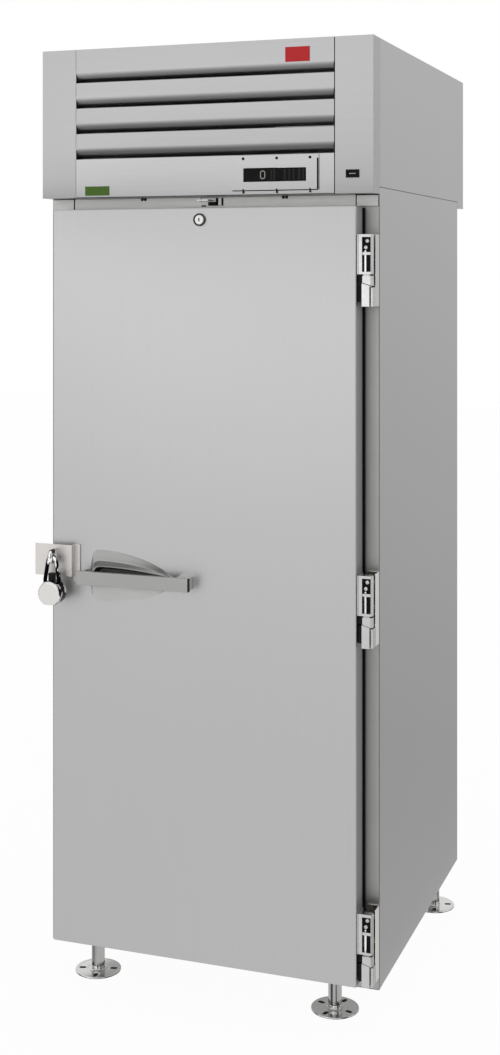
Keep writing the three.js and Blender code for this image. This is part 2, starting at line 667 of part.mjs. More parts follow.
function addControls(parent) {
  const back = fasciaFront - SEAT;
  const front = back - COVER.thickness;
  const plate = facePlate(coverX, coverZ, COVER.width, COVER.height, front, back);
  const windowHole = facePlate(
    windowX, windowZ, WINDOW.width, WINDOW.height, front - CUT, back + CUT,
  );
  const screws = [];
  for (let i = -1; i <= 1; i += 1) {
    for (const side of [-1, 1]) {
      const head = turned([
        [0, -COVER.thickness / 2], [COVER_SCREW_RADIUS, -COVER.thickness / 2],
        [COVER_SCREW_RADIUS * 0.6, COVER_SCREW_HEAD], [0, COVER_SCREW_HEAD],
      ], 8).rotateX(Math.PI / 2);
      screws.push(head.translate(
        coverX + i * COVER_SCREW_SPACING, front, coverZ + side * (COVER.height / 2 - COVER_SCREW_INSET_Z),
      ));
    }
  }
  node(parent, 'control_cover', join(cut(plate, windowHole), ...screws), stainless);

  // The display's window shows through the cover, with the controller's body behind it.
  const width = WINDOW.width - 2 * SEAT;
  const height = WINDOW.height - 2 * SEAT;
  const glassFront = front + WINDOW.recess;
  node(parent, 'temperature_controller', facePlate(
    windowX, windowZ, width, height, glassFront, glassFront + CONTROLLER_DEPTH,
  ), blackPlastic);
}

function addPowerSwitch(parent) {
  const s = SWITCH;
  const innerWidth = s.width - 2 * s.rim;
  const innerHeight = s.height - 2 * s.rim;
  const front = fasciaFront - SEAT - s.bezel;
  const body = join(
    facePlate(switchX, switchZ, s.width, s.height, front, fasciaFront - SEAT),
    facePlate(
      switchX, switchZ, s.width - s.rim - 2 * SEAT, s.height - s.rim - 2 * SEAT,
      front + s.bezel / 2, fasciaFront + s.depth,
    ),
  );
  node(parent, 'power_switch_housing', cut(
    body, facePlate(switchX, switchZ, innerWidth, innerHeight, front - CUT, fasciaFront + s.depth / 2),
  ), blackPlastic);

  // Rocker paddle on its own axis, with one end pressed in.
  const paddle = groupAt(parent, switchX, front + 1.5, switchZ);
  const reach = innerWidth / 2 - 0.6;
  const tilt = THREE.MathUtils.degToRad(ROCKER_TILT);
  const lift = reach * Math.sin(tilt);
  const shape = polygonShape([
    [-reach, 0.8], [0, -0.4], [reach, 0.8 - lift], [reach - 1.2, 7], [-reach + 1.2, 7],
  ]);
  const height = innerHeight / 2 - 0.6;
  const rocker = new THREE.ExtrudeGeometry(shape, { depth: 2 * height, bevelEnabled: false });
  rocker.translate(0, 0, -height);
  node(paddle, 'power_rocker', rocker, blackPlastic);
}

// ---------------------------------------------------------------- condensing unit

function addCondensingUnit(parent) {
  const u = UNIT_BASE;
  const baseBottom = CABINET_HEIGHT + SEAT;
  const half = unitHalf;
  node(parent, 'unit_base', join(
    box(-half, half, u.front, unitBack, baseBottom, deckZ),
    box(-half, -half + u.thickness, u.front, unitBack, baseBottom, baseBottom + u.lip),
    box(half - u.thickness, half, u.front, unitBack, baseBottom, baseBottom + u.lip),
  ), galvanised);

  // Welded compressor shell on a plate with four rubber-mounted corners.
  const c = COMPRESSOR;
  const floor = deckZ + SEAT;
  const seam = c.height * 0.55;
  const shellBottom = c.foot + 4;
  const can = turned([
    [0, shellBottom], [c.radius * 0.8, shellBottom], [c.radius, shellBottom + 22],
    [c.radius, seam - 4], [c.radius + 3, seam - 4], [c.radius + 3, seam + 4], [c.radius, seam + 4],
    [c.radius, c.height - 40], [c.radius * 0.75, c.height - 12], [c.radius * 0.35, c.height], [0, c.height],
  ], 20);
  const pieces = [can.translate(c.x, compressorY, floor)];
  const spread = c.radius * 0.95;
  pieces.push(box(
    c.x - spread, c.x + spread, compressorY - spread, compressorY + spread, floor + c.foot, floor + c.foot + 5,
  ));
  for (const dx of [-1, 1]) {
    for (const dy of [-1, 1]) {
      const foot = rod(9, floor, floor + c.foot + 2, 10);
      pieces.push(foot.translate(c.x + dx * (spread - 12), compressorY + dy * (spread - 12), 0));
    }
  }
  node(parent, 'compressor', join(...pieces), blackEnamel);

  // Condenser: finned block with end plates and return bends, then its shroud and fan.
  const k = CONDENSER;
  const left = k.x - k.width / 2;
  const right = k.x + k.width / 2;
  const coil = [
    box(left, right, k.front + 3, k.front + k.depth - 3, floor, floor + k.height),
    box(left, left + 3, k.front, k.front + k.depth, floor, floor + k.height),
    box(right - 3, right, k.front, k.front + k.depth, floor, floor + k.height),
  ];
  const rows = 6;
  for (let i = 0; i < rows; i += 1) {
    const z = floor + ((i + 0.5) * k.height) / rows;
    coil.push(box(right - 2, right + 8, k.front + 12, k.front + k.depth - 12, z - 5, z + 5));
    coil.push(box(left - 8, left + 2, k.front + 12, k.front + k.depth - 12, z - 5, z + 5));
  }
  node(parent, 'condenser_coil', join(...coil), aluminium);

  const shroudFront = k.front + k.depth + SEAT;
  const shroudBack = shroudFront + SHROUD.depth;
  const fanZ = floor + k.height / 2;
  const ringHole = rod(SHROUD.ring - 4, -SHROUD.depth * 2, CUT, 24).rotateX(Math.PI / 2);
  const shroud = cut(
    box(left, right, shroudFront, shroudBack, floor, floor + k.height),
    box(
      left + SHROUD.wall, right - SHROUD.wall, shroudFront - CUT, shroudBack - SHROUD.wall,
      floor + SHROUD.wall, floor + k.height - SHROUD.wall,
    ),
    ringHole.translate(k.x, shroudBack - SHROUD.depth * 1.5, fanZ),
  );
  node(parent, 'condenser_shroud', shroud, galvanised);

  const fanY = shroudBack - CONDENSER_FAN.width / 2;
  const fan = groupAt(parent, k.x, fanY, fanZ);
  fan.rotation.x = -Math.PI / 2;
  node(fan, 'condenser_fan', cut(
    fanWheel({ ...CONDENSER_FAN, radius: CONDENSER_FAN.radius - 4 }),
    rod(4.4, -CONDENSER_FAN.width, CONDENSER_FAN.width, 12),
  ), aluminium);

  const motorFront = shroudBack + 6;
  const m = FAN_MOTOR;
  node(parent, 'condenser_fan_motor', join(
    rod(m.radius, 0, m.length, 16).rotateX(-Math.PI / 2).translate(k.x, motorFront, fanZ),
    rod(4, 0, CONDENSER_FAN.width + 4, 12).rotateX(Math.PI / 2).translate(k.x, motorFront + 1, fanZ),
    box(k.x - 16, k.x + 16, motorFront + 20, motorFront + 24, floor, fanZ),
    box(k.x - 16, k.x + 16, motorFront + 20, motorFront + 50, floor, floor + 4),
  ), blackEnamel);

  const e = ELECTRICAL_BOX;
  const boxX = halfWidth - e.fromSide;
  node(parent, 'electrical_box', box(
    boxX - e.width / 2, boxX + e.width / 2, e.front, e.front + e.depth, floor, floor + e.height,
  ), galvanised);

  addPipes(parent, floor);
}

// Copper lines: discharge and suction at the compressor, and the liquid line with its drier.
function addPipes(parent, floor) {
  const c = COMPRESSOR;
  const k = CONDENSER;
  const r = PIPE_RADIUS;
  const side = c.x - c.radius - 3 - SEAT;
  const coilEnd = k.x - k.width / 2 - 8 - SEAT;
  const d = DISCHARGE;
  const high = floor + c.height * 0.75;
  const discharge = pipe([
    [side, compressorY, high - d.outlet], [side - d.stub, compressorY, high - d.outlet],
    [side - d.offset, compressorY - d.behindCentre, high - d.outlet * 2 / 3],
    [side - d.offset, k.front + k.depth, high - d.outlet / 3],
    [coilEnd - 16, k.front + k.depth / 2, high - d.outlet / 5],
    [coilEnd, k.front + k.depth / 2, high - d.outlet / 5],
  ], r, 18);
  node(parent, 'discharge_line', discharge, copper);

  // The liquid line runs through the drier and is soldered to the suction line where both
  // go down through the deck.
  const drop = deckZ + SEAT;
  const dropX = c.x + c.radius + SUCTION.fromCompressor;
  const dropY = compressorY + SUCTION.behindCentre;
  const suctionR = r + 1;
  const suction = pipe([
    [c.x + c.radius + 3 + SEAT, compressorY, high - d.outlet],
    [c.x + c.radius + SUCTION.stub, compressorY, high - d.outlet],
    [dropX - 6, dropY - 14, high - d.outlet - SUCTION.fall],
    [dropX, dropY, floor + SUCTION.rise], [dropX, dropY, floor + SUCTION.rise / 2],
    [dropX, dropY, drop],
  ], suctionR, 18);
  const rightEnd = k.x + k.width / 2 + 8 + SEAT;
  const liquidR = r - 1;
  const drierX = rightEnd + DRIER.fromCoil;
  const drierY = DRIER.y;
  const liquidZ = floor + DRIER.lift;
  const liquid = join(
    pipe([
      [rightEnd, k.front + k.depth / 2, floor + k.height / 12],
      [rightEnd + LIQUID.straight, k.front + k.depth / 2, floor + k.height / 12],
      [rightEnd + LIQUID.straight + LIQUID.bend, k.front + k.depth / 2 + 12, liquidZ],
      [drierX, k.front + k.depth + LIQUID.behindCoil, liquidZ], [drierX, drierY + 4, liquidZ],
    ], liquidR, 14),
    rod(DRIER.radius, 0, DRIER.length, 12).rotateX(-Math.PI / 2).translate(drierX, drierY, liquidZ),
    pipe([
      [drierX, drierY + DRIER.length - 4, liquidZ], [drierX, drierY + DRIER.length + 20, liquidZ],
      [drierX - LIQUID.join, dropY, liquidZ], [dropX + suctionR - 1, dropY, liquidZ],
    ], liquidR, 12),
  );
  node(parent, 'suction_and_liquid_lines', join(suction, liquid), copper);
}

// ---------------------------------------------------------------- door

// Half outline of the pull dish, from its blunt left end to its right tip, about Z = 0.
function dishOutline() {
  const left = dishLeft;
  const shoulder = dishShoulder;
  const right = dishRight;
  const h = DISH.halfHeight;
  const upper = new THREE.Path();
  upper.moveTo(left, 0);
  upper.lineTo(left + (shoulder - left) * 0.3, h * 0.68);
  upper.quadraticCurveTo(left + (shoulder - left) * 0.45, h, shoulder, h);
  upper.bezierCurveTo(shoulder + DISH.crown, h, right - DISH.tip, h * 0.52, right, 0);
  const half = upper.getPoints(7).filter((p, i, all) => i === 0 || p.distanceTo(all[i - 1]) > 0.01);
  const lower = half.slice(1, -1).reverse().map((p) => new THREE.Vector2(p.x, -p.y));
  return [...half, ...lower];
}

// A closed solid through rings of the dish outline, each given as [scale, y].
// The outline shrinks towards a point behind the pull bar.
function dishLoft(rings) {
  const outline = dishOutline();
  const focus = dishShoulder + (dishRight - dishShoulder) * 0.3;
  const count = outline.length;
  const positions = [];
  for (const [scale, y] of rings) {
    for (const p of outline) positions.push(focus + (p.x - focus) * scale, y, PULL_Z + p.y * scale);
  }
  const first = positions.length / 3;
  positions.push(focus, rings[0][1], PULL_Z);
  positions.push(focus, rings[rings.length - 1][1], PULL_Z);
  const faces = [];
  for (let i = 0; i < count; i += 1) {
    const next = (i + 1) % count;
    for (let ring = 0; ring + 1 < rings.length; ring += 1) {
      const a = ring * count + i;
      const b = ring * count + next;
      faces.push(a, b, b + count, a, b + count, a + count);
    }
    faces.push(first, next, i);
    const last = (rings.length - 1) * count;
    faces.push(first + 1, last + i, last + next);
  }
  const geometry = new THREE.BufferGeometry();
  geometry.setAttribute('position', new THREE.BufferAttribute(new Float32Array(positions), 3));
  geometry.setIndex(faces);
  return toSolidSigned(geometry);
}

// Turns a closed surface right side out if its faces were drawn inwards.
function toSolidSigned(geometry) {
  const p = geometry.attributes.position;
  const index = geometry.index.array;
  let volume = 0;
  const a = new THREE.Vector3();
  const b = new THREE.Vector3();
  const c = new THREE.Vector3();
  for (let i = 0; i < index.length; i += 3) {
    a.fromBufferAttribute(p, index[i]);
    b.fromBufferAttribute(p, index[i + 1]);
    c.fromBufferAttribute(p, index[i + 2]);
    volume += a.dot(b.cross(c));
  }
  if (volume < 0) {
    const turnedOver = [];
    for (let i = 0; i < index.length; i += 3) turnedOver.push(index[i], index[i + 2], index[i + 1]);
    geometry.setIndex(turnedOver);
  }
  return geometry;
}

// Depths of the dish's rings: a sloping rim, then a steeper well with a flat floor.
function dishRings(grow, sheet, proud) {
  const mid = DOOR_FRONT + DISH.depth * 0.4;
  const floor = DOOR_FRONT + DISH.depth;
  return [
    [1 + grow, DOOR_FRONT - proud], [0.8 + grow, mid + sheet * 0.6], [0.7 + grow, floor + sheet],
  ];
}

function addDoor(parent) {
  const skin = DOOR_SKIN;
  const inner = [doorLeft + skin, doorRight - skin];
  const zInner = [DOOR_BOTTOM + skin, doorTop - skin];
  const boltFront = DOOR_FRONT + BOLT.setBack;
  const boltHalf = BOLT.width / 2 + BOLT_CLEARANCE;
  const boltPocket = (z0, z1) => box(
    -boltHalf, boltHalf, boltFront - BOLT_CLEARANCE, boltFront + BOLT.thickness + BOLT_CLEARANCE, z0, z1,
  );
  const dishHole = dishLoft([[1.006, DOOR_FRONT - CUT], [1.006, DOOR_FRONT + skin + CUT]]);
  const lockHole = (radius, depth) => rod(radius, -CUT, depth, 16).rotateX(-Math.PI / 2)
    .translate(0, DOOR_FRONT, lockZ);

  node(parent, 'door_outer_skin', cut(
    box(doorLeft, doorRight, DOOR_FRONT, doorBack, DOOR_BOTTOM, doorTop),
    box(...inner, DOOR_FRONT + skin, doorBack + CUT, ...zInner),
    dishHole,
    lockHole(LOCK.plug + SEAT, skin + CUT),
    boltPocket(doorTop - skin - CUT, doorTop + CUT),
  ), stainless);

  const foamX = [inner[0] + SEAT, inner[1] - SEAT];
  const foamZ = [zInner[0] + SEAT, zInner[1] - SEAT];
  const panelFront = doorBack - DOOR_PANEL;
  node(parent, 'door_insulation', cut(
    box(...foamX, DOOR_FRONT + skin + SEAT, panelFront - SEAT, ...foamZ),
    dishLoft(dishRings(0.012, DISH.sheet + SEAT, 0)),
    lockHole(LOCK.plug + SEAT, LOCK.depth + SEAT),
    boltPocket(doorTop - BOLT.inset - BOLT.length - BOLT_CLEARANCE, doorTop + CUT),
  ), foam);
  node(parent, 'door_inner_panel', box(...foamX, panelFront, doorBack, ...foamZ), aluminium);

  const gasketBack = -SEAT;
  const g = GASKET_INSET;
  const gw = g + GASKET_WIDTH;
  node(parent, 'door_gasket', cut(
    box(doorLeft + g, doorRight - g, doorBack + SEAT, gasketBack, DOOR_BOTTOM + g, doorTop - g),
    box(doorLeft + gw, doorRight - gw, doorBack, gasketBack + CUT, DOOR_BOTTOM + gw, doorTop - gw),
  ), greyRubber);

  addPull(parent);
  addDoorLock(parent, boltFront);
}

function addPull(parent) {
  const outer = dishLoft(dishRings(0, DISH.sheet, 0));
  const hollow = dishLoft(dishRings(-0.02, 0, 0.02));
  node(parent, 'pull_dish', cut(outer, hollow), stainless);

  const barBack = BAR.front + BAR.thickness;
  const low = PULL_Z - BAR.height / 2;
  const high = PULL_Z + BAR.height / 2;
  const bossLow = PULL_Z - BAR_BOSS.height / 2;
  const bossHigh = PULL_Z + BAR_BOSS.height / 2;
  const bossRight = barRight - BAR_BOSS.rightInset;
  node(parent, 'pull_bar', join(
    box(barLeft, barRight, BAR.front, barBack, low, high),
    box(barLeft, barLeft + BAR_BOSS.length, barBack - 1, DOOR_FRONT - SEAT, bossLow, bossHigh),
    box(bossRight - BAR_BOSS.length, bossRight, barBack - 1, DOOR_FRONT - SEAT, bossLow, bossHigh),
  ), stainless);
}

function addDoorLock(parent, boltFront) {
  const plugGroup = groupAt(parent, 0, DOOR_FRONT - LOCK.proud, lockZ);
  const plug = rod(LOCK.plug, 0, LOCK.proud + LOCK.depth, 20).rotateX(-Math.PI / 2);
  node(plugGroup, 'door_lock_plug', cut(plug, box(
    -LOCK.keyway / 2, LOCK.keyway / 2, -CUT, LOCK.keywayDepth, -LOCK.keywayHeight / 2, LOCK.keywayHeight / 2,
  )), polished);

  const boltTop = doorTop - BOLT.inset;
  node(parent, 'door_lock_bolt', box(
    -BOLT.width / 2, BOLT.width / 2, boltFront, boltFront + BOLT.thickness, boltTop - BOLT.length, boltTop,
  ), polished);
}

// ---------------------------------------------------------------- hasp and padlock

function addHasp(parent) {
  const h = HASP;
  const plateBack = h.front + h.sheet;
  const footFront = DOOR_FRONT - SEAT - h.sheet;
  const tongueEnd = h.front - STAPLE.reach;
  const eyeY = tongueEnd + STAPLE.height / 2;
  const round = STAPLE.height / 2;
  const outline = [[h.front + 1, stapleZ - round]];
  for (let i = 0; i <= 8; i += 1) {
    const a = -Math.PI / 2 - (i / 8) * Math.PI;
    outline.push([eyeY + round * Math.cos(a), stapleZ + round * Math.sin(a)]);
  }
  outline.push([h.front + 1, stapleZ + round]);
  const half = STAPLE.thickness / 2;
  const tongue = alongX(outline, stapleX - half, stapleX + half);
  const eye = rod(STAPLE.hole, -half - CUT, half + CUT, 16).rotateY(Math.PI / 2)
    .translate(stapleX, eyeY, stapleZ);
  node(parent, 'hasp_plate', cut(join(
    box(haspLeft, haspRight, h.front, plateBack, haspBottom, haspTop),
    box(haspRight - h.sheet, haspRight, h.front, DOOR_FRONT - SEAT, haspBottom, haspTop),
    box(haspRight - h.sheet, haspRight + h.foot, footFront, DOOR_FRONT - SEAT, haspBottom - h.foot, haspTop),
    tongue,
  ), eye), polished);

  addPadlock(parent, eyeY);
}

// The padlock hangs by its bow in the staple's eye. Its group's origin is the middle
// of the bow's bar, where it rests in the eye.
function addPadlock(parent, eyeY) {
  const s = SHACKLE;
  const p = PADLOCK;
  const bowZ = stapleZ - STAPLE.hole + s.rod + s.rest;
  const lock = groupAt(parent, stapleX, eyeY, bowZ);
  const legTop = -s.halfSpan;
  const legBottom = legTop - s.straight;

  const bow = [];
  const sides = 8;
  const left = new THREE.Vector3(-s.halfSpan, 0, legBottom - s.heel);
  const leftTop = new THREE.Vector3(-s.halfSpan, 0, legTop);
  const rightTop = new THREE.Vector3(s.halfSpan, 0, legTop);
  const right = new THREE.Vector3(s.halfSpan, 0, legBottom - s.toe);
  const stations = [left, leftTop];
  const arcSteps = 8;
  for (let i = 1; i < arcSteps; i += 1) {
    const a = Math.PI - (i / arcSteps) * Math.PI;
    stations.push(new THREE.Vector3(s.halfSpan * Math.cos(a), 0, legTop + s.halfSpan * Math.sin(a)));
  }
  stations.push(rightTop, right);
  stations.forEach((point, i) => {
    const before = stations[Math.max(i - 1, 0)];
    const after = stations[Math.min(i + 1, stations.length - 1)];
    const along = new THREE.Vector3().subVectors(after, before).normalize();
    const across = new THREE.Vector3(0, 1, 0).cross(along).normalize();
    for (let j = 0; j < sides; j += 1) {
      const turn = (j / sides) * Math.PI * 2;
      const out = across.clone().multiplyScalar(s.rod * Math.cos(turn));
      bow.push(point.x + out.x, point.y + s.rod * Math.sin(turn), point.z + out.z);
    }
  });
  const faces = [];
  for (let i = 0; i + 1 < stations.length; i += 1) {
    for (let j = 0; j < sides; j += 1) {
      const a = i * sides + j;
      const b = i * sides + ((j + 1) % sides);
      faces.push(a, b, b + sides, a, b + sides, a + sides);
    }
  }
  const end = (stations.length - 1) * sides;
  for (let j = 1; j + 1 < sides; j += 1) {
    faces.push(0, j + 1, j);
    faces.push(end, end + j, end + j + 1);
  }
  const shackle = new THREE.BufferGeometry();
  shackle.setAttribute('position', new THREE.BufferAttribute(new Float32Array(bow), 3));
  shackle.setIndex(faces);
  node(lock, 'padlock_shackle', toSolidSigned(shackle), polished);

  // Round body with a flat underside, bored for the shackle's two legs.
  const centreZ = legBottom - p.radius * Math.cos(Math.asin(s.halfSpan / p.radius)) + 0.5;
  const rim = p.edge;
  const halfT = p.thickness / 2;
  const disc = turned([
    [0, -halfT], [p.radius - rim, -halfT], [p.radius, -halfT + rim], [p.radius, halfT - rim],
    [p.radius - rim, halfT], [0, halfT],
  ], 28).rotateX(Math.PI / 2).translate(0, 0, centreZ);
  const bore = s.rod + p.clearance;
  const boreSides = 12;
  node(lock, 'padlock_body', cut(
    disc,
    box(-p.radius, p.radius, -p.thickness, p.thickness, centreZ - p.radius - CUT, centreZ - p.radius + p.flat),
    rod(bore, legBottom - s.heel - 1, centreZ + p.radius + CUT, boreSides).translate(-s.halfSpan, 0, 0),
    rod(bore, legBottom - s.toe - 1, centreZ + p.radius + CUT, boreSides).translate(s.halfSpan, 0, 0),
  ), polished);
}

// ---------------------------------------------------------------- hinges

// A block whose top (or bottom) face slopes down towards +X, for the lifting cam.
function camBlock(half, z0, z1, slopeTop) {
  const k = HINGE.slope * half;
  const outline = slopeTop
    ? [[-half, z0], [half, z0], [half, z1 - k], [-half, z1 + k]]
    : [[-half, z0 + k], [half, z0 - k], [half, z1], [-half, z1]];
  return alongY(polygonShape(outline), -half, half);
}

function hingeDoorHalf() {
  const h = HINGE;
  const bore = PIN.radius + PIN.clearance;
  const doorSide = doorRight - hingeX + SEAT;
  const frame = cut(
    box(h.frameLeft, h.frameRight, h.frameFront, h.frameBack, h.frameBottom, h.top),
    box(
      h.frameLeft + h.frameBar, h.frameRight - h.frameBar,
      h.frameFront - CUT, h.frameBack - h.frameWall, h.frameBottom + h.frameBar, h.top - h.frameBar,
    ),
  );
  const wall = h.frameBack - h.frameWall;
  const screws = HINGE_SCREW.levels.map((z) => rod(HINGE_SCREW.radius, -1, HINGE_SCREW.height, 8)
    .rotateX(Math.PI / 2).translate(0, wall, z));
  return cut(
    join(
      frame,
      ...screws,
      box(doorSide, doorSide + h.leaf, h.frameFront, h.leafBack, h.frameBottom, h.top),
      camBlock(h.half, h.barrelTop + h.camGap, h.frameBottom + 1, false),
    ),
    rod(bore, 0, h.frameBottom + h.frameBar + CUT, 12),
  );
}

function hingeJambHalf() {
  const h = HINGE;
  const bore = PIN.radius + PIN.clearance;
  const swing = Math.hypot(Math.max(h.frameRight, -h.frameFront), h.frameBack);
  const stripIn = Math.max(swing, h.frameRight) + h.stripGap;
  const stripOut = stripIn + h.strip;
  const back = -HINGE_Y - SEAT;
  return cut(
    join(
      camBlock(h.half, 0, h.barrelTop, true),
      box(0, stripOut, -h.half * 0.6, h.half * 0.6, 0, h.barrelTop - h.slope * h.half - 2),
      box(stripIn, stripOut, h.stripFront, back, 0, h.top),
      box(h.footLeft, stripOut, back - h.footSheet, back, 0, h.top),
    ),
    rod(bore, PIN.bottom - 1, h.barrelTop + CUT * 3, 12),
  );
}

function hingePin() {
  const p = PIN;
  const ledge = p.collarAt;
  return turned([
    [0, p.bottom], [p.radius, p.bottom], [p.radius, ledge], [p.collar, ledge],
    [p.collar, ledge + p.collarHeight], [p.radius, ledge + p.collarHeight], [p.radius, p.top], [0, p.top],
  ], 12);
}

function addHinges(parent) {
  const names = ['lower', 'middle', 'upper'];
  hingeBases.forEach((z, i) => {
    const hinge = groupAt(parent, hingeX, HINGE_Y, z);
    node(hinge, `hinge_jamb_half_${names[i]}`, hingeJambHalf(), polished);
    node(hinge, `hinge_door_half_${names[i]}`, hingeDoorHalf(), polished);
    node(hinge, `hinge_pin_${names[i]}`, hingePin(), polished);
  });
}

// ---------------------------------------------------------------- legs

function legPlaces() {
  return [
    [-halfWidth + FRONT_LEGS.fromLeft, FRONT_LEGS.y], [halfWidth - FRONT_LEGS.fromRight, FRONT_LEGS.y],
    [-halfWidth + REAR_LEGS.fromSide, CABINET_DEPTH - REAR_LEGS.fromBack],
    [halfWidth - REAR_LEGS.fromSide, CABINET_DEPTH - REAR_LEGS.fromBack],
  ];
}

// Four tubes welded to a plate that lies in the cabinet's floor under the foam, and a
// flanged foot in each tube.
function addLegs(parent) {
  const f = FOOT;
  const names = ['front_left', 'front_right', 'rear_left', 'rear_right'];
  const edge = halfWidth - SKIN - SEAT;
  const plateBottom = legFrameTop - LEG.plate;
  const tubeBottom = f.thickness + f.collar + SEAT - LEG_HEIGHT;
  const frame = [box(
    -edge, edge, FACE_FRAME + SEAT, CABINET_DEPTH - SKIN - SEAT, plateBottom, legFrameTop,
  )];
  legPlaces().forEach(([x, y], i) => {
    frame.push(turned([
      [LEG.bore, tubeBottom], [LEG.radius, tubeBottom], [LEG.radius, legFrameTop - LEG.plate / 2],
      [LEG.bore, legFrameTop - LEG.plate / 2], [LEG.bore, tubeBottom],
    ], LEG.sides).translate(x, y, 0));

    const leg = groupAt(parent, x, y, -LEG_HEIGHT);
    const collarTop = f.thickness + f.collar;
    const stemTop = collarTop + f.engagement;
    const slots = [0, 1, 2, 3].map((quarter) => box(
      f.slotRadius - f.slotLength / 2, f.slotRadius + f.slotLength / 2,
      -f.slotWidth / 2, f.slotWidth / 2, -CUT, f.thickness + CUT,
    ).rotateZ((quarter * Math.PI) / 2));
    const disc = turned([
      [0, 0], [f.radius, 0], [f.radius, f.thickness - 1], [f.radius - 1.2, f.thickness],
      [LEG.radius, f.thickness], [LEG.radius, collarTop], [f.stem, collarTop],
      [f.stem, stemTop], [0, stemTop],
    ], 24);
    node(leg, `foot_${names[i]}`, cut(disc, ...slots), polished);
  });
  node(parent, 'leg_frame', join(...frame), polished);
}

// ---------------------------------------------------------------- assembly

const cabinet = new THREE.Group();
addCabinet(cabinet);
addShelving(cabinet);
addEvaporator(cabinet);
addHood(cabinet);
addFasciaPosts(cabinet);
addLouvrePanel(cabinet);
addControls(cabinet);
addPowerSwitch(cabinet);
addCondensingUnit(cabinet);
addDoor(cabinet);
addHasp(cabinet);
addHinges(cabinet);
addLegs(cabinet);

const refrigerator = new THREE.Group();
refrigerator.add(cabinet);
refrigerator.updateMatrixWorld(true);
const bounds = new THREE.Box3().setFromObject(refrigerator, true);
cabinet.position.set(
  -(bounds.min.x + bounds.max.x) / 2,
  -(bounds.min.y + bounds.max.y) / 2,
  -bounds.min.z,
);

export default refrigerator;
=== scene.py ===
import math
from functools import cache

import bmesh
import bpy
from bmesh.types import BMEdge, BMFace, BMVert
from bpy.props import FloatProperty, IntProperty, PointerProperty, StringProperty
from mathutils import Matrix, Vector


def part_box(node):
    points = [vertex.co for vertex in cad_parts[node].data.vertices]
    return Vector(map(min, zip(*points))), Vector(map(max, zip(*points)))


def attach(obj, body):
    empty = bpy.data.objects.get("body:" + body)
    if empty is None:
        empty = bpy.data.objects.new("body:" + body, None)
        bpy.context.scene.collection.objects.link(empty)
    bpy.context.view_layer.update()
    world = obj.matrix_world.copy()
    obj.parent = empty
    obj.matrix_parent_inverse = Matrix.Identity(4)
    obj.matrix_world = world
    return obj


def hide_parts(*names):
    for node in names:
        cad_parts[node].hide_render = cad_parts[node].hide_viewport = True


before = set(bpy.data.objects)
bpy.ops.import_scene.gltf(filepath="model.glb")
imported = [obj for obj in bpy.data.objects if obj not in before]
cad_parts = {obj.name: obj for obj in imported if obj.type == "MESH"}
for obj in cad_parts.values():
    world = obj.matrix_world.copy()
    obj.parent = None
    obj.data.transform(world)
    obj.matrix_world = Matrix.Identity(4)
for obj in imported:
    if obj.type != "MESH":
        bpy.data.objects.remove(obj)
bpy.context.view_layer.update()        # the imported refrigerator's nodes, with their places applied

bl_info = {
    "name": "Reach-in refrigerator",
    "version": (1, 0, 0),
    "blender": (4, 5, 0),
    "location": "View3D > Sidebar > Refrigerator",
    "description": "Builds a single-door reach-in refrigerator with a top-mounted cooling unit",
    "category": "Add Mesh",
}

# ------------------------------------------------------------------ places and shapes

# Pieces are drawn in millimetres from the middle of the cabinet's front bottom edge,
# +X to the hinge side, +Y to the back, +Z up. ORIGIN is that point in the frame, in metres.
ORIGIN = Vector((0.0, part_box("cabinet_outer_shell")[0].y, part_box("cabinet_outer_shell")[0].z))
MM = 0.001
RIGHT, BACK, FRONT, UP = (1, 0, 0), (0, 1, 0), (0, -1, 0), (0, 0, 1)


def span(node_name):
    """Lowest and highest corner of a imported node, in drawing millimetres."""
    low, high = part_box(node_name)
    return (low - ORIGIN) / MM, (high - ORIGIN) / MM


def mid(node_name):
    """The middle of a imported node, in drawing millimetres."""
    low, high = span(node_name)
    return (low + high) / 2


def only(kind, items):
    """The items of one kind out of what an operation gives."""
    return [item for item in items if isinstance(item, kind)]


def block(bm, low, high):
    """Adds a block between two corners and gives its vertices."""
    low, high = Vector(low), Vector(high)
    grown = Matrix.Translation((low + high) / 2) @ Matrix.Diagonal((*(high - low), 1.0))
    return bmesh.ops.create_cube(bm, size=1.0, matrix=grown)["verts"]


def edges_of(verts):
    return list({edge for vert in verts for edge in vert.link_edges})


def round_off(bm, edges, radius, segments=2):
    """Rounds these edges with an even radius."""
    bmesh.ops.bevel(
        bm, geom=edges, offset=radius, offset_type="OFFSET", segments=segments,
        profile=0.5, affect="EDGES", clamp_overlap=True, material=-1,
    )


def soft_block(bm, low, high, radius, segments=2):
    """Adds a block with all its edges rounded."""
    round_off(bm, edges_of(block(bm, low, high)), radius, segments)


def blocks(*rows):
    """A new drawing of rounded blocks: lowest corner, highest corner, radius, and segments if not 2."""
    bm = bmesh.new()
    for row in rows:
        soft_block(bm, *row)
    return bm


def pad(axis, low, high, radius, segments):
    """A new drawing of a block with only its edges along one axis (0, 1 or 2) rounded."""
    bm = bmesh.new()
    block(bm, low, high)
    along = [e for e in bm.edges if abs(e.verts[0].co[axis] - e.verts[1].co[axis]) > 0.1]
    round_off(bm, along, radius, segments)
    return bm


def draw_line(bm, points):
    """Adds an open line through points and gives its vertices and its edges."""
    verts = [bm.verts.new(point) for point in points]
    return verts, [bm.edges.new(pair) for pair in zip(verts, verts[1:])]


def strip(bm, points, start, stop):
    """Pulls an open line of (y, z) points along X into a sheet whose widest face looks to -Y."""
    edges = draw_line(bm, [(start, y, z) for y, z in points])[1]
    pulled = bmesh.ops.extrude_edge_only(bm, edges=edges)["geom"]
    bmesh.ops.translate(bm, verts=only(BMVert, pulled), vec=(stop - start, 0, 0))
    faces = only(BMFace, pulled)
    bm.normal_update()
    if max(faces, key=lambda face: face.calc_area()).normal.y > 0:
        bmesh.ops.reverse_faces(bm, faces=faces)


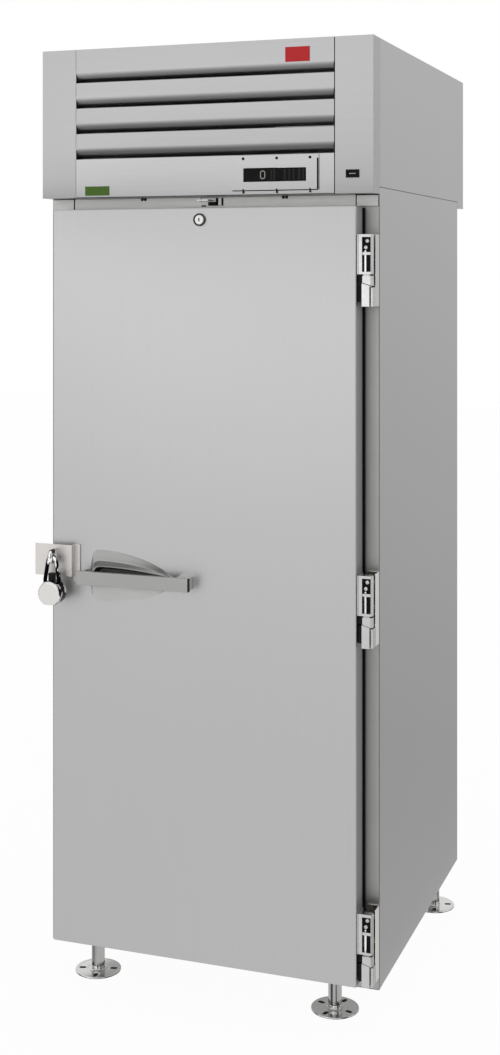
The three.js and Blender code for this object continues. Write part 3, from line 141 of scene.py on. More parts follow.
def turn(bm, profile, axis_point, axis=UP, steps=32):
    """Spins a line of (radius, height) points round an axis into a closed form."""
    axis = Vector(axis).normalized()
    side = axis.orthogonal().normalized()
    centre = Vector(axis_point)
    verts, edges = draw_line(bm, [centre + side * r + axis * h for r, h in profile])
    bmesh.ops.spin(
        bm, geom=verts + edges, cent=centre, axis=axis, angle=math.tau, steps=steps, use_merge=True,
    )
    bmesh.ops.remove_doubles(bm, verts=bm.verts, dist=0.001)
    bmesh.ops.recalc_face_normals(bm, faces=bm.faces)
    return bm


def sweep(bm, points, radius, sides=12, capped=True):
    """Draws a round bar along a line of points."""
    points = [Vector(p) for p in points]
    ways = [(b - a).normalized() for a, b in zip(points, points[1:])]
    stand = Vector(UP).rotation_difference(ways[0]).to_matrix().to_4x4()
    ring = bmesh.ops.create_circle(
        bm, cap_ends=False, radius=radius, segments=sides, matrix=Matrix.Translation(points[0]) @ stand,
    )["verts"]
    edges = edges_of(ring)
    if capped:
        bmesh.ops.contextual_create(bm, geom=edges)
    for i in range(1, len(points)):
        before, after = ways[i - 1], ways[min(i, len(ways) - 1)]
        grown = bmesh.ops.extrude_edge_only(bm, edges=edges)["geom"]
        ring, edges = only(BMVert, grown), only(BMEdge, grown)
        bmesh.ops.translate(bm, verts=ring, vec=points[i] - points[i - 1])
        lean = (before + after).normalized()
        turned = before.rotation_difference(lean).to_matrix()
        if i > 1:
            turned = turned @ last_lean.rotation_difference(before).to_matrix()
        bmesh.ops.rotate(bm, verts=ring, cent=points[i], matrix=turned)
        last_lean = lean
    if capped:
        bmesh.ops.contextual_create(bm, geom=edges)


def rod(bm, start, end, radius, sides=12):
    """Adds a straight round bar between two points."""
    start, end = Vector(start), Vector(end)
    way = end - start
    place = Matrix.Translation((start + end) / 2) @ way.to_track_quat("Z", "Y").to_matrix().to_4x4()
    bmesh.ops.create_cone(
        bm, cap_ends=True, segments=sides, radius1=radius, radius2=radius, depth=way.length, matrix=place,
    )


def prism(bm, outline, low, high):
    """Adds an upright block over an outline of (x, y) points and gives its vertices."""
    verts = [bm.verts.new((x, y, low)) for x, y in outline]
    top = only(BMVert, bmesh.ops.extrude_face_region(bm, geom=[bm.faces.new(verts)])["geom"])
    bmesh.ops.translate(bm, verts=top, vec=(0, 0, high - low))
    bmesh.ops.recalc_face_normals(bm, faces=list({f for v in verts + top for f in v.link_faces}))
    return verts + top


def screw_head(bm, place, axis, radius, height):
    """Adds a small domed screw head with a recess in its middle."""
    turn(bm, [(0, height * 0.45), (radius * 0.3, height * 0.5), (radius * 0.38, height),
              (radius * 0.75, height * 0.85), (radius, height * 0.2), (radius, 0), (0, 0)], place, axis, 14)


def screws(places, axis, radius, height):
    """A new drawing of screw heads."""
    bm = bmesh.new()
    for place in places:
        screw_head(bm, place, axis, radius, height)
    return bm


def arc(centre, radius, start, stop, steps):
    """Points on a circle in the plane of its own first two numbers, angles in degrees."""
    turns = [math.radians(start + (stop - start) * i / steps) for i in range(steps + 1)]
    return [(centre[0] + radius * math.cos(a), centre[1] + radius * math.sin(a)) for a in turns]


# ------------------------------------------------------------------ drawings into pieces

def show(name, bm):
    """Makes an object of a drawing, as it is."""
    mesh = bpy.data.meshes.new(name)
    bm.to_mesh(mesh)
    bm.free()
    shown = bpy.data.objects.new(name, mesh)
    bpy.context.scene.collection.objects.link(shown)
    return shown


def settle(name, bm, home=None):
    """Makes an object of a drawing, in metres and in its place in the frame, by way of its home."""
    for place in (home, Matrix.Translation(ORIGIN) @ Matrix.Scale(MM, 4)):
        if place:
            bmesh.ops.transform(bm, matrix=place, verts=bm.verts)
    return show(name, bm)


def cutter(low, high, home=None):
    """A block to cut with."""
    bm = bmesh.new()
    block(bm, low, high)
    return settle("cutter", bm, home)


def shape_of(thing):
    """A new mesh of an object with its modifiers applied."""
    bpy.context.view_layer.update()
    return bpy.data.meshes.new_from_object(thing.evaluated_get(bpy.context.evaluated_depsgraph_get()))


def cut_away(target, *tools):
    """Cuts tool objects out of a piece and removes the tools."""
    for tool in tools:
        cut = target.modifiers.new("cut", "BOOLEAN")
        cut.operation = "DIFFERENCE"
        cut.solver = "EXACT"
        cut.object = tool
    shaped, old = shape_of(target), target.data
    target.modifiers.clear()
    target.data = shaped
    shaped.name = old.name
    bpy.data.meshes.remove(old)
    for tool in tools:
        gone = tool.data
        bpy.data.objects.remove(tool)
        bpy.data.meshes.remove(gone)
    return target


def sheet(thing, thickness):
    """Makes a sheet of a piece's faces, of this thickness in mm."""
    wall = thing.modifiers.new("sheet", "SOLIDIFY")
    wall.thickness = thickness * MM
    wall.offset = -1
    return thing


def folded_skin(name, low, high, open_y, radius):
    """A box of 1 mm sheet that is open at one Y, with folds of this radius."""
    bm = bmesh.new()
    block(bm, low, high)
    gone = [f for f in bm.faces if all(abs(v.co.y - open_y) < 0.01 for v in f.verts)]
    bmesh.ops.delete(bm, geom=gone, context="FACES_ONLY")
    round_off(bm, [e for e in bm.edges if not e.is_boundary], radius, 4)
    return sheet(settle(name, bm), 1.0)


def dress(thing, looks, body="cabinet", node=None, slot=None, smooth=32):
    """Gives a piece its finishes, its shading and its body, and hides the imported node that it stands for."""
    looks = [looks] if isinstance(looks, str) else looks
    thing.data.materials.clear()
    for look in looks:
        thing.data.materials.append(finish_of(look))
    if smooth:
        thing.data.shade_smooth()
        thing.data.set_sharp_from_angle(angle=math.radians(smooth))
        thing.modifiers.new("even shading", "WEIGHTED_NORMAL").keep_sharp = True
    else:
        thing.data.shade_flat()
    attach(thing, body)
    slot = slot or FINISHES[looks[0]][0]
    if node:
        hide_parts(node)
    return thing


def piece(name, bm, *dressing, home=None, **more):
    """Makes a dressed piece of a drawing."""
    return dress(settle(name, bm, home), *dressing, **more)


def second_finish(thing, chosen):
    """Gives a piece's second finish to the faces that are chosen."""
    for face in thing.data.polygons:
        face.material_index = int(chosen(face))


def refinish(look, *node_names, edge=0):
    """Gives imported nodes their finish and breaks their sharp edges, by this many mm."""
    for node_name in node_names:
        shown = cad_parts[node_name]
        for place in shown.material_slots:
            place.link = "OBJECT"
            place.material = finish_of(look)
        if edge:
            shown.modifiers.new("weld", "WELD").merge_threshold = 0.00002
            broken = shown.modifiers.new("broken edges", "BEVEL")
            broken.width = edge * MM
            broken.segments = 2
            broken.limit_method = "ANGLE"
            broken.angle_limit = math.radians(40)


# ------------------------------------------------------------------ finishes

def linear(hex_colour):
    """Turns an sRGB hex colour into the linear numbers that a shader takes."""
    parts = [int(hex_colour[i:i + 2], 16) / 255 for i in (0, 2, 4)]
    return (*[p / 12.92 if p <= 0.04045 else ((p + 0.055) / 1.055) ** 2.4 for p in parts], 1.0)


def add(tree, kind, inputs=None, **settings):
    """Adds one shader node. An input takes a value, or the output of another node."""
    made = tree.nodes.new(kind)
    for key, value in settings.items():
        setattr(made, key, value)
    for key, value in (inputs or {}).items():
        socket = made.inputs[key]
        if isinstance(value, bpy.types.NodeSocket):
            tree.links.new(value, socket)
        else:
            socket.default_value = value
    return made


def cleared(owner):
    """The node tree of a new material or world, with nothing in it."""
    owner.use_nodes = True
    owner.node_tree.nodes.clear()
    return owner.node_tree


def open_finish(name):
    """Starts a finish and gives it with its shader and its object coordinates."""
    finish = bpy.data.materials.new(name)
    tree = cleared(finish)
    shader = add(tree, "ShaderNodeBsdfPrincipled")
    add(tree, "ShaderNodeOutputMaterial", {"Surface": shader.outputs["BSDF"]})
    return finish, tree, shader, add(tree, "ShaderNodeTexCoord").outputs["Object"]


def blend_colours(tree, factor, dark, light, reach=0.2, middle=0.5):
    """Mixes two colours by a pattern, over this reach to both sides of the pattern's middle."""
    spread = add(tree, "ShaderNodeMapRange", {
        "Value": factor, "From Min": middle - reach, "From Max": middle + reach,
    })
    return add(tree, "ShaderNodeMix", {
        "Factor": spread.outputs[0], 6: linear(dark), 7: linear(light),
    }, data_type="RGBA").outputs[2]


def surface(tree, shader, colour, pattern, gloss, relief, depth):
    """Links the colour, the gloss that follows a pattern, and a relief with its depth in mm."""
    shine = add(tree, "ShaderNodeMapRange", {"Value": pattern, **gloss})
    bump = add(tree, "ShaderNodeBump", {"Strength": 1.0, "Distance": depth * MM, "Height": relief})
    for name, output in {
        "Base Color": colour, "Roughness": shine.outputs[0], "Normal": bump.outputs[0],
    }.items():
        tree.links.new(output, shader.inputs[name])


def worn_metal(name, light, dark, roughness, spread, grain, depth,
               cloud=350, share=0.3, reach=0.2, middle=0.5):
    """A metal with grain of the given size (x, y, z in mm), slow clouding in mm, and relief in mm."""
    finish, tree, shader, where = open_finish(name)
    lines = add(tree, "ShaderNodeMapping", {"Vector": where, "Scale": [1000 / g for g in grain]})
    streak = add(tree, "ShaderNodeTexNoise", {"Vector": lines.outputs[0], "Scale": 1.0, "Detail": 3.0})
    slow = add(tree, "ShaderNodeTexNoise", {"Vector": where, "Scale": 1000 / cloud, "Detail": 2.0})
    both = add(tree, "ShaderNodeMix", {
        "Factor": share, 2: streak.outputs["Fac"], 3: slow.outputs["Fac"],
    }, data_type="FLOAT").outputs[0]
    surface(tree, shader, blend_colours(tree, both, dark, light, reach, middle), both, {
        "From Min": 0.3, "From Max": 0.7, "To Min": roughness + spread, "To Max": roughness - spread,
    }, streak.outputs["Fac"], depth)
    shader.inputs["Metallic"].default_value = 1.0
    return finish


def moulded(name, light, dark, roughness, grain, depth, specular=0.5):
    """A plastic, rubber, foam or enamel with a skin of the given grain and relief in mm."""
    finish, tree, shader, where = open_finish(name)
    pits = add(tree, "ShaderNodeTexNoise", {"Vector": where, "Scale": 1000 / grain, "Detail": 2.0})
    height = pits.outputs["Fac"]
    surface(tree, shader, blend_colours(tree, height, dark, light), height,
            {"To Min": roughness + 0.06, "To Max": roughness - 0.06}, height, depth)
    shader.inputs["Specular IOR Level"].default_value = specular
    return finish


def spangled(name, dark, light, flake):
    """A zinc coat of crystal flakes of the given size in mm."""
    finish, tree, shader, where = open_finish(name)
    flakes = add(tree, "ShaderNodeTexVoronoi", {"Vector": where, "Scale": 1000 / flake})
    colour = blend_colours(tree, flakes.outputs["Color"], dark, light)
    tree.links.new(colour, shader.inputs["Base Color"])
    gloss = add(tree, "ShaderNodeMapRange", {
        "Value": flakes.outputs["Distance"], "To Min": 0.55, "To Max": 0.4,
    })
    tree.links.new(gloss.outputs[0], shader.inputs["Roughness"])
    shader.inputs["Metallic"].default_value = 1.0
    return finish


# Every finish: the material slot of the pieces that wear it, what draws it, and the values for
# that. A value that is the name of a setting in the panel is read from there.
FINISHES = {
    # Belt-brushed sheet, upright: a soft grey sheen that smears reflections. The real grit
    # lines are about 0.1 mm wide and are drawn 2.5 mm wide, so that they just show.
    "door_steel": ("stainless", worn_metal, "304 stainless, brushed upright", "stainless", "stainless_shade",
                   "brushed_roughness", 0.008, (2.5, 2.5, 260), 0.0002),
    # The door's folded edge on the hinge side: painted shade, a darker copy of the door's steel for the shade beside
    # the jamb.
    "edge_steel": ("stainless", worn_metal, "304 stainless, folded edge, unbrushed", "AEAEAF", "A8A8A9",
                   0.42, 0.012, (2.5, 2.5, 260), 0.0002),
    # The same sheet with its grain along the hood's front, as it is cut from the coil.
    "band_steel": ("stainless", worn_metal, "304 stainless, brushed along", "band", "band_shade",
                   "brushed_roughness", 0.012, (260, 2.5, 2.5), 0.0003),
    # The hood's lowest strip and its cover plate: the same grain, a shade brighter than the band.
    "strip_steel": ("stainless", worn_metal, "304 stainless, brushed along, rubbed", "BABABB", "B8B8B9",
                    0.38, 0.012, (260, 2.5, 2.5), 0.0003),
    # Trim in the groove over the door: painted light, a lighter copy of the steel so that it reads pale in the
    # groove's shade.
    "header_steel": ("stainless", worn_metal, "304 stainless, rolled bright", "BABAB8", "B2B2B0",
                     0.42, 0.02, (120, 3, 3), 0.0004, 60),
    # Inside of the pull's pocket: painted shade, a dark copy of the drawn steel with the press's marks left in it.
    "pocket_steel": ("stainless", worn_metal, "304 stainless, drawn, unpolished", "5E5E5D", "4A4A49",
                     0.5, 0.04, (12, 4, 4), 0.001, 40),
    # The front frame behind the door: the same sheet with painted shade, a darker copy for the door's shadow on it.
    "frame_steel": ("stainless", worn_metal, "304 stainless, dull rolled", "A7A7A5", "A3A3A1",
                    0.42, 0.02, (40, 3, 3), 0.0004, 60, 0.5),
    # Hardened steel with painted reflections: hard patches of black and white about 10 mm across stand in for the
    # studio mirrored in it.
    "worn_shackle": ("polished_steel", worn_metal, "hardened steel, painted reflections", "F2F2F2",
                     "0A0A0B", 0.1, 0.03, (13, 13, 24), 0.0006, 20, 0.0, 0.02, 0.53),
    # Painted shade on the louvre panel's end cheeks: near-black sheet for the dark seams and slot ends beside the
    # panel.
    "dark_primer": ("stainless", moulded, "steel sheet, painted shade", "262627", "1E1E1F", 0.7, 1.5, 0.004, 0.1),
    # Deep-drawn sheet of the pull dish: the grain stretched out by the press, smoother sheen.
    "pressed_steel": ("stainless", worn_metal, "304 stainless, deep drawn", "B2B2B0", "AEAEAC",
                      0.42, 0.02, (30, 5, 5), 0.0003, 60),
    # Flat bar, brushed along its length, a shade darker than the sheet behind it.
    "bar_steel": ("stainless", worn_metal, "stainless flat bar, brushed along", "A6A6A4", "A0A09E",
                  0.3, 0.03, (90, 1.5, 1.5), 0.0008, 60),
    # Plate with a glass-bead finish: brighter than the brushed sheet, soft reflections.
    "satin_steel": ("polished_steel", worn_metal, "stainless plate, bead blasted", "CBCBC9", "C5C5C3",
                    0.24, 0.03, (3, 3, 3), 0.0008, 40),
    # Ground plate of the hasp: pale and soft, so that the padlock hardly mirrors in it.
    "hasp_steel": ("stainless", worn_metal, "stainless plate, fine ground", "D8D5D2", "D4D1CE",
                   0.5, 0.02, (3, 3, 3), 0.0006, 40),
    # Cast and buffed stainless of hinges and lock: bright, with near mirror reflections.
    "cast_steel": ("polished_steel", worn_metal, "cast stainless, buffed", "C8C8C7", "C2C2C1",
                   0.28, 0.03, (8, 8, 8), 0.0008, 25),
    # Polished tube of the legs with painted reflections: dark and light stripes about 8 mm wide stand along it.
    "leg_steel": ("polished_steel", worn_metal, "stainless tube, polished", "A8A8A7", "3E3E3F",
                  0.14, 0.03, (8, 8, 900), 0.0002, 40, 0.0, 0.05, 0.47),
    # Turned stainless of the feet, with a faint lathe grain round it.
    "flange_steel": ("polished_steel", worn_metal, "stainless, turned", "D4D4D2", "C8C8C6",
                     0.2, 0.04, (4, 4, 4), 0.0008, 30),
    # Bright chromium plating over steel: a clear mirror with a cool tone.
    "chrome_plate": ("polished_steel", worn_metal, "chromium plate, bright", "EDEEEE", "E8E9E9",
                     0.05, 0.015, (10, 10, 10), 0.0004, 30),
    # The padlock's face: satin chromium plate, near white with a warm tone.
    "padlock_steel": ("polished_steel", worn_metal, "chromium plate, satin", "DDDBD8", "D9D7D4",
                      0.12, 0.02, (10, 10, 10), 0.0004, 30),
    # The hinges' leaves on the jamb with painted light: a near-white copy of the cast steel, so that a pale strip
    # shows beside each windowed cover in the door's shade.
    "hinge_steel": ("stainless", worn_metal, "cast stainless, painted light", "F4F2EC", "EEECE6",
                    0.12, 0.03, (10, 10, 10), 0.0004, 30),
    # Nickel-plated shelf wire: warm grey, soft highlights along each wire.
    "nickel_wire": ("polished_steel", worn_metal, "steel wire, nickel plated", "C2C0BA", "B4B2AC",
                    0.25, 0.05, (12, 12, 12), 0.001, 40),
    # Aluminium sheet with its mill finish: pale, slightly cloudy, faint rolling lines.
    "mill_aluminium": ("aluminium", worn_metal, "aluminium sheet, mill finish", "CCCCCB", "C2C2C1",
                       0.4, 0.05, (6, 6, 200), 0.001, 120),
    # Thin aluminium fin stock: pale with a fine crimp that breaks up the light.
    "fin_aluminium": ("aluminium", worn_metal, "aluminium fins, rolled", "B9BBBD", "A9ABAD",
                      0.38, 0.06, (8, 8, 2), 0.01, 30),
    # Steel screws, blackened in oil: near black with a dull sheen on the domes.
    "dark_screws": ("black_plastic", worn_metal, "steel, oil blackened", "2A2A2B", "1C1C1D",
                    0.4, 0.06, (2, 2, 2), 0.002, 10),
    # Drawn refrigeration copper, handled and slightly browned.
    "drawn_copper": ("copper", worn_metal, "copper tube, drawn", "C98A63", "A86C4A",
                     0.28, 0.08, (14, 14, 14), 0.001, 60),
    # Hot-dip galvanised sheet: dull light grey with crystal flakes about 9 mm across.
    "galvanised": ("galvanised_steel", spangled, "steel sheet, hot-dip galvanised", "8E9194", "ADB0B2", 9.0),
    # Moulded black ABS with a spark-eroded texture of about 0.8 mm, matt and even.
    "black_plastic": ("black_plastic", moulded, "ABS, moulded black", "161617", "101011", 0.45, 0.8, 0.01, 0.12),
    # Smoked acrylic over the display: black with a clear gloss.
    "window_plastic": ("black_plastic", moulded, "acrylic, smoked and polished", "101011", "0B0B0C",
                       0.2, 30, 0.0005, 0.06),
    # Printed and lit grey of the digit's outline.
    "display_light": ("black_plastic", moulded, "display segment, screen printed", "A9A59C", "98948B",
                      0.6, 1.5, 0.001, 0.1),
    # Unlit bars of the display, a shade above the window's black.
    "display_dim": ("black_plastic", moulded, "display segment, unlit", "2A2A2C", "222224", 0.5, 1.5, 0.001, 0.1),
    # Opal acrylic lamp cover: milky white with a low gloss.
    "opal_acrylic": ("lamp_plastic", moulded, "acrylic, opal moulded", "F0EFEA", "E6E5DF", 0.35, 20, 0.002),
    # Dark grey extruded PVC of the door seal: matt, reads as a black line from outside.
    "seal_rubber": ("grey_rubber", moulded, "PVC, extruded dark grey", "434344", "37373A", 0.6, 4.0, 0.01, 0.2),
    # Black moulded rubber of the compressor's mounts and the feet's pads: dull, with a dusty bloom.
    "soft_rubber": ("grey_rubber", moulded, "rubber, moulded black", "2E2E2E", "202020", 0.75, 3.0, 0.02, 0.3),
    # Poured polyurethane foam between skin and lining: pale yellow, open and dull.
    "wall_foam": ("foam", moulded, "polyurethane, poured foam", "DCC994", "C9B37B", 0.9, 2.0, 0.3, 0.1),
    # Stoved black enamel of compressor and motor: deep with a soft orange-peel gloss.
    "black_enamel": ("black_enamel", moulded, "enamel, stoved black", "222224", "1A1A1C", 0.3, 3.0, 0.02),
    # Glossy stoved enamel of the two bare plates on the hood, with a faint orange-peel skin.
    "upper_enamel": (None, moulded, "enamel on aluminium, upper", "upper_plate", "B02B2E", 0.4, 2.5, 0.004, 0.12),
    "lower_enamel": (None, moulded, "enamel on aluminium, lower", "lower_plate", "436026", 0.4, 2.5, 0.004, 0.12),
}


@cache
def finish_of(look):
    """Makes a finish of the table, once."""
    panel = bpy.context.scene.fridge_finishes
    draw, *values = FINISHES[look][1:]
    named = panel.bl_rna.properties.keys()
    return draw(*[getattr(panel, value) if value in named else value for value in values])


# ------------------------------------------------------------------ settings

class FinishSettings(bpy.types.PropertyGroup):
    """Colours and gloss of the refrigerator's main finishes"""
    stainless: StringProperty(
        name="Stainless", description="sRGB hex colour of the brushed steel", default="BABABA")
    stainless_shade: StringProperty(
        name="Stainless shade", description="sRGB hex colour in the grain", default="B8B8B8")
    band: StringProperty(
        name="Band", description="sRGB hex colour of the hood's front", default="B0B0B1")
    band_shade: StringProperty(
        name="Band shade", description="sRGB hex colour in the hood's grain", default="AEAEAF")
    brushed_roughness: FloatProperty(
        name="Brushed roughness", description="Gloss of the brushed steel, 0 is a mirror",
        default=0.4, min=0.05, max=0.9, subtype="FACTOR")
    upper_plate: StringProperty(
        name="Upper plate", description="sRGB hex colour of the bare plate on the top band", default="BC2A2E")
    lower_plate: StringProperty(
        name="Lower plate", description="sRGB hex colour of the bare plate under the louvres", default="4E6C2C")


class DoorSettings(bpy.types.PropertyGroup):
    """Sizes of the door's shaped parts"""
    edge_radius: FloatProperty(
        name="Edge radius", description="Fold radius of the door's edges",
        default=0.003, min=0.0005, max=0.01, unit="LENGTH")
    dish_steps: IntProperty(
        name="Dish steps", description="Points along each bend of the pull dish", default=14, min=4, max=40)


class HoodSettings(bpy.types.PropertyGroup):
    """Sizes of the louvre blades"""
    blade_flat: FloatProperty(
        name="Blade flat", description="Height of a blade's straight part",
        default=0.030, min=0.01, max=0.05, unit="LENGTH")
    curl_radius: FloatProperty(
        name="Curl radius", description="Radius of the curl under each blade",
        default=0.0215, min=0.005, max=0.024, unit="LENGTH")


class StageSettings(bpy.types.PropertyGroup):
    """Light and camera"""
    softbox_power: FloatProperty(
        name="Softbox", description="Power of the front softbox", default=13.0, min=0.0, unit="POWER")
    ambient: FloatProperty(
        name="Ambient", description="Strength of the room light on matt surfaces",
        default=0.85, min=0.0, max=2.0)
    floor_glow: FloatProperty(
        name="Floor glow", description="Share of plain white in the floor as camera and metal see it",
        default=0.955, min=0.0, max=1.0, subtype="FACTOR")
    lens: FloatProperty(
        name="Lens", description="Focal length of the camera",
        default=53.24, min=20.0, max=120.0, unit="CAMERA")


# ------------------------------------------------------------------ stage

WHITE = (1, 1, 1, 1)

# The camera's place in metres, its turn about Z in degrees and the shift of its lens, fitted
# to the photograph's view.
CAMERA_PLACE, CAMERA_TURN, LENS_SHIFT = (1.1756, -3.39480, 1.52979), 19.68, -0.2436


def seen_directly(tree):
    """One where the camera, metal or glass looks, and zero for the light on matt surfaces."""
    path = add(tree, "ShaderNodeLightPath")
    first = add(tree, "ShaderNodeMath", {
        0: path.outputs["Is Camera Ray"], 1: path.outputs["Is Glossy Ray"],
    }, operation="ADD")
    return add(tree, "ShaderNodeMath", {
        0: first.outputs[0], 1: path.outputs["Is Transmission Ray"],
    }, operation="ADD", use_clamp=True).outputs[0]


def studio_card(name, width, height, place, turned, tones, along="Z", underside=None):
    """A flat card that only reflections show, shaded from one tone to another along an axis.
    It stands upright and turned about Z, or lies flat where it is shaded along Y, and then its
    tone falls off faster toward its near end."""
    bm = bmesh.new()
    upright = Matrix.Rotation(math.radians(0 if along == "Y" else 90), 4, "X")
    stand = (Matrix.Translation(Vector(place)) @ Matrix.Rotation(math.radians(turned), 4, "Z")
             @ upright @ Matrix.Diagonal((width / 2, height / 2, 1, 1)))
    bmesh.ops.create_grid(bm, x_segments=1, y_segments=1, size=1.0, matrix=stand)
    card = show(name, bm)
    finish = bpy.data.materials.new(name + " paper")
    tree = cleared(finish)
    where = add(tree, "ShaderNodeTexCoord").outputs["Object"]
    parts = add(tree, "ShaderNodeSeparateXYZ", {0: where})
    middle = place["XYZ".index(along)]
    tone = add(tree, "ShaderNodeMapRange", {
        "Value": parts.outputs[along], "From Min": middle - height / 2, "From Max": middle + height / 2,
        "To Min": tones[0], "To Max": tones[1],
    }).outputs[0]
    if underside is not None:
        tone = add(tree, "ShaderNodeMath", {0: tone, 1: 0.5}, operation="POWER").outputs[0]
        side = add(tree, "ShaderNodeNewGeometry").outputs["Backfacing"]
        tone = add(tree, "ShaderNodeMix", {
            "Factor": side, 2: tone, 3: underside,
        }, data_type="FLOAT").outputs[0]
    glow = add(tree, "ShaderNodeEmission", {"Color": WHITE, "Strength": tone})
    add(tree, "ShaderNodeOutputMaterial", {"Surface": glow.outputs[0]})
    card.data.materials.append(finish)
    card.visible_camera = card.visible_diffuse = card.visible_shadow = False


class FRIDGE_OT_stage(bpy.types.Operator):
    """Set the floor, the light and the camera"""
    bl_idname = "fridge.stage"
    bl_label = "Stage"

    def execute(self, context):
        scene = context.scene
        light = scene.fridge_stage

        lens = bpy.data.cameras.new("camera")
        lens.lens, lens.sensor_width, lens.shift_y = light.lens, 36.0, LENS_SHIFT
        camera = bpy.data.objects.new("camera", lens)
        camera.location = CAMERA_PLACE
        camera.rotation_euler = (math.radians(90), 0, math.radians(CAMERA_TURN))
        scene.collection.objects.link(camera)
        scene.camera = camera

        box = bpy.data.lights.new("softbox", "AREA")
        box.shape = "RECTANGLE"
        box.size, box.size_y, box.energy = 3.0, 1.9, light.softbox_power
        lamp = bpy.data.objects.new("softbox", box)
        lamp.location = (-1.2, -4.3, 1.9)
        aim = Vector((0.0, -0.3, 1.9)) - lamp.location
        lamp.rotation_euler = aim.to_track_quat("-Z", "Y").to_euler()
        scene.collection.objects.link(lamp)

        # A white room: matt surfaces take the softer light, while the camera, metal and
        # glass see plain white round the refrigerator.
        world = bpy.data.worlds.new("white room")
        tree = cleared(world)
        soft = add(tree, "ShaderNodeBackground", {"Color": WHITE, "Strength": light.ambient})
        white = add(tree, "ShaderNodeBackground", {"Color": WHITE, "Strength": 1.0})
        both = add(tree, "ShaderNodeMixShader", {
            0: seen_directly(tree), 1: soft.outputs[0], 2: white.outputs[0],
        })
        add(tree, "ShaderNodeOutputWorld", {"Surface": both.outputs[0]})
        scene.world = world

        bm = bmesh.new()
        bmesh.ops.create_grid(bm, x_segments=1, y_segments=1, size=14.0)
        floor = show("floor", bm)
        finish, tree, shader, where = open_finish("floor, pale matt paint")
        grit = add(tree, "ShaderNodeTexNoise", {"Vector": where, "Scale": 6.0})
        paint = blend_colours(tree, grit.outputs["Fac"], "F0F0EF", "F4F4F3")
        tree.links.new(paint, shader.inputs["Base Color"])
        shader.inputs["Roughness"].default_value = 0.9
        share = add(tree, "ShaderNodeMath", {
            0: seen_directly(tree), 1: light.floor_glow,
        }, operation="MULTIPLY")
        glow = add(tree, "ShaderNodeEmission", {"Color": WHITE, "Strength": 1.0})
        mixed = add(tree, "ShaderNodeMixShader", {
            0: share.outputs[0], 1: shader.outputs[0], 2: glow.outputs[0],
        })
        tree.links.new(mixed.outputs[0], tree.nodes["Material Output"].inputs["Surface"])
        floor.data.materials.append(finish)

        # Two grey cards shade the right side, one under the hood shades the louvres' curls,
        # and two dark ones draw stripes in bright metal.
        studio_card("grey_card", 4.2, 3.2, (2.5, 1.6, 1.6), 0, (0.56, 0.93))
        studio_card("grey_card_low", 2.4, 2.2, (1.6, 0.5, 0.004), 0, (0.36, 0.3), along="Y", underside=0.5)
        studio_card("louvre_card", 1.0, 1.5, (0.0, -1.15, 1.681), 0, (1.0, 0.0), along="Y", underside=1.0)
        studio_card("dark_card_right", 1.2, 2.6, (2.3, -1.3, 1.3), 60, (0.03, 0.03))
        studio_card("dark_card_left", 0.8, 2.6, (-2.7, -0.9, 1.3), -70, (0.03, 0.03))

        scene.view_settings.view_transform = "Standard"
        return {"FINISHED"}


# ------------------------------------------------------------------ cabinet

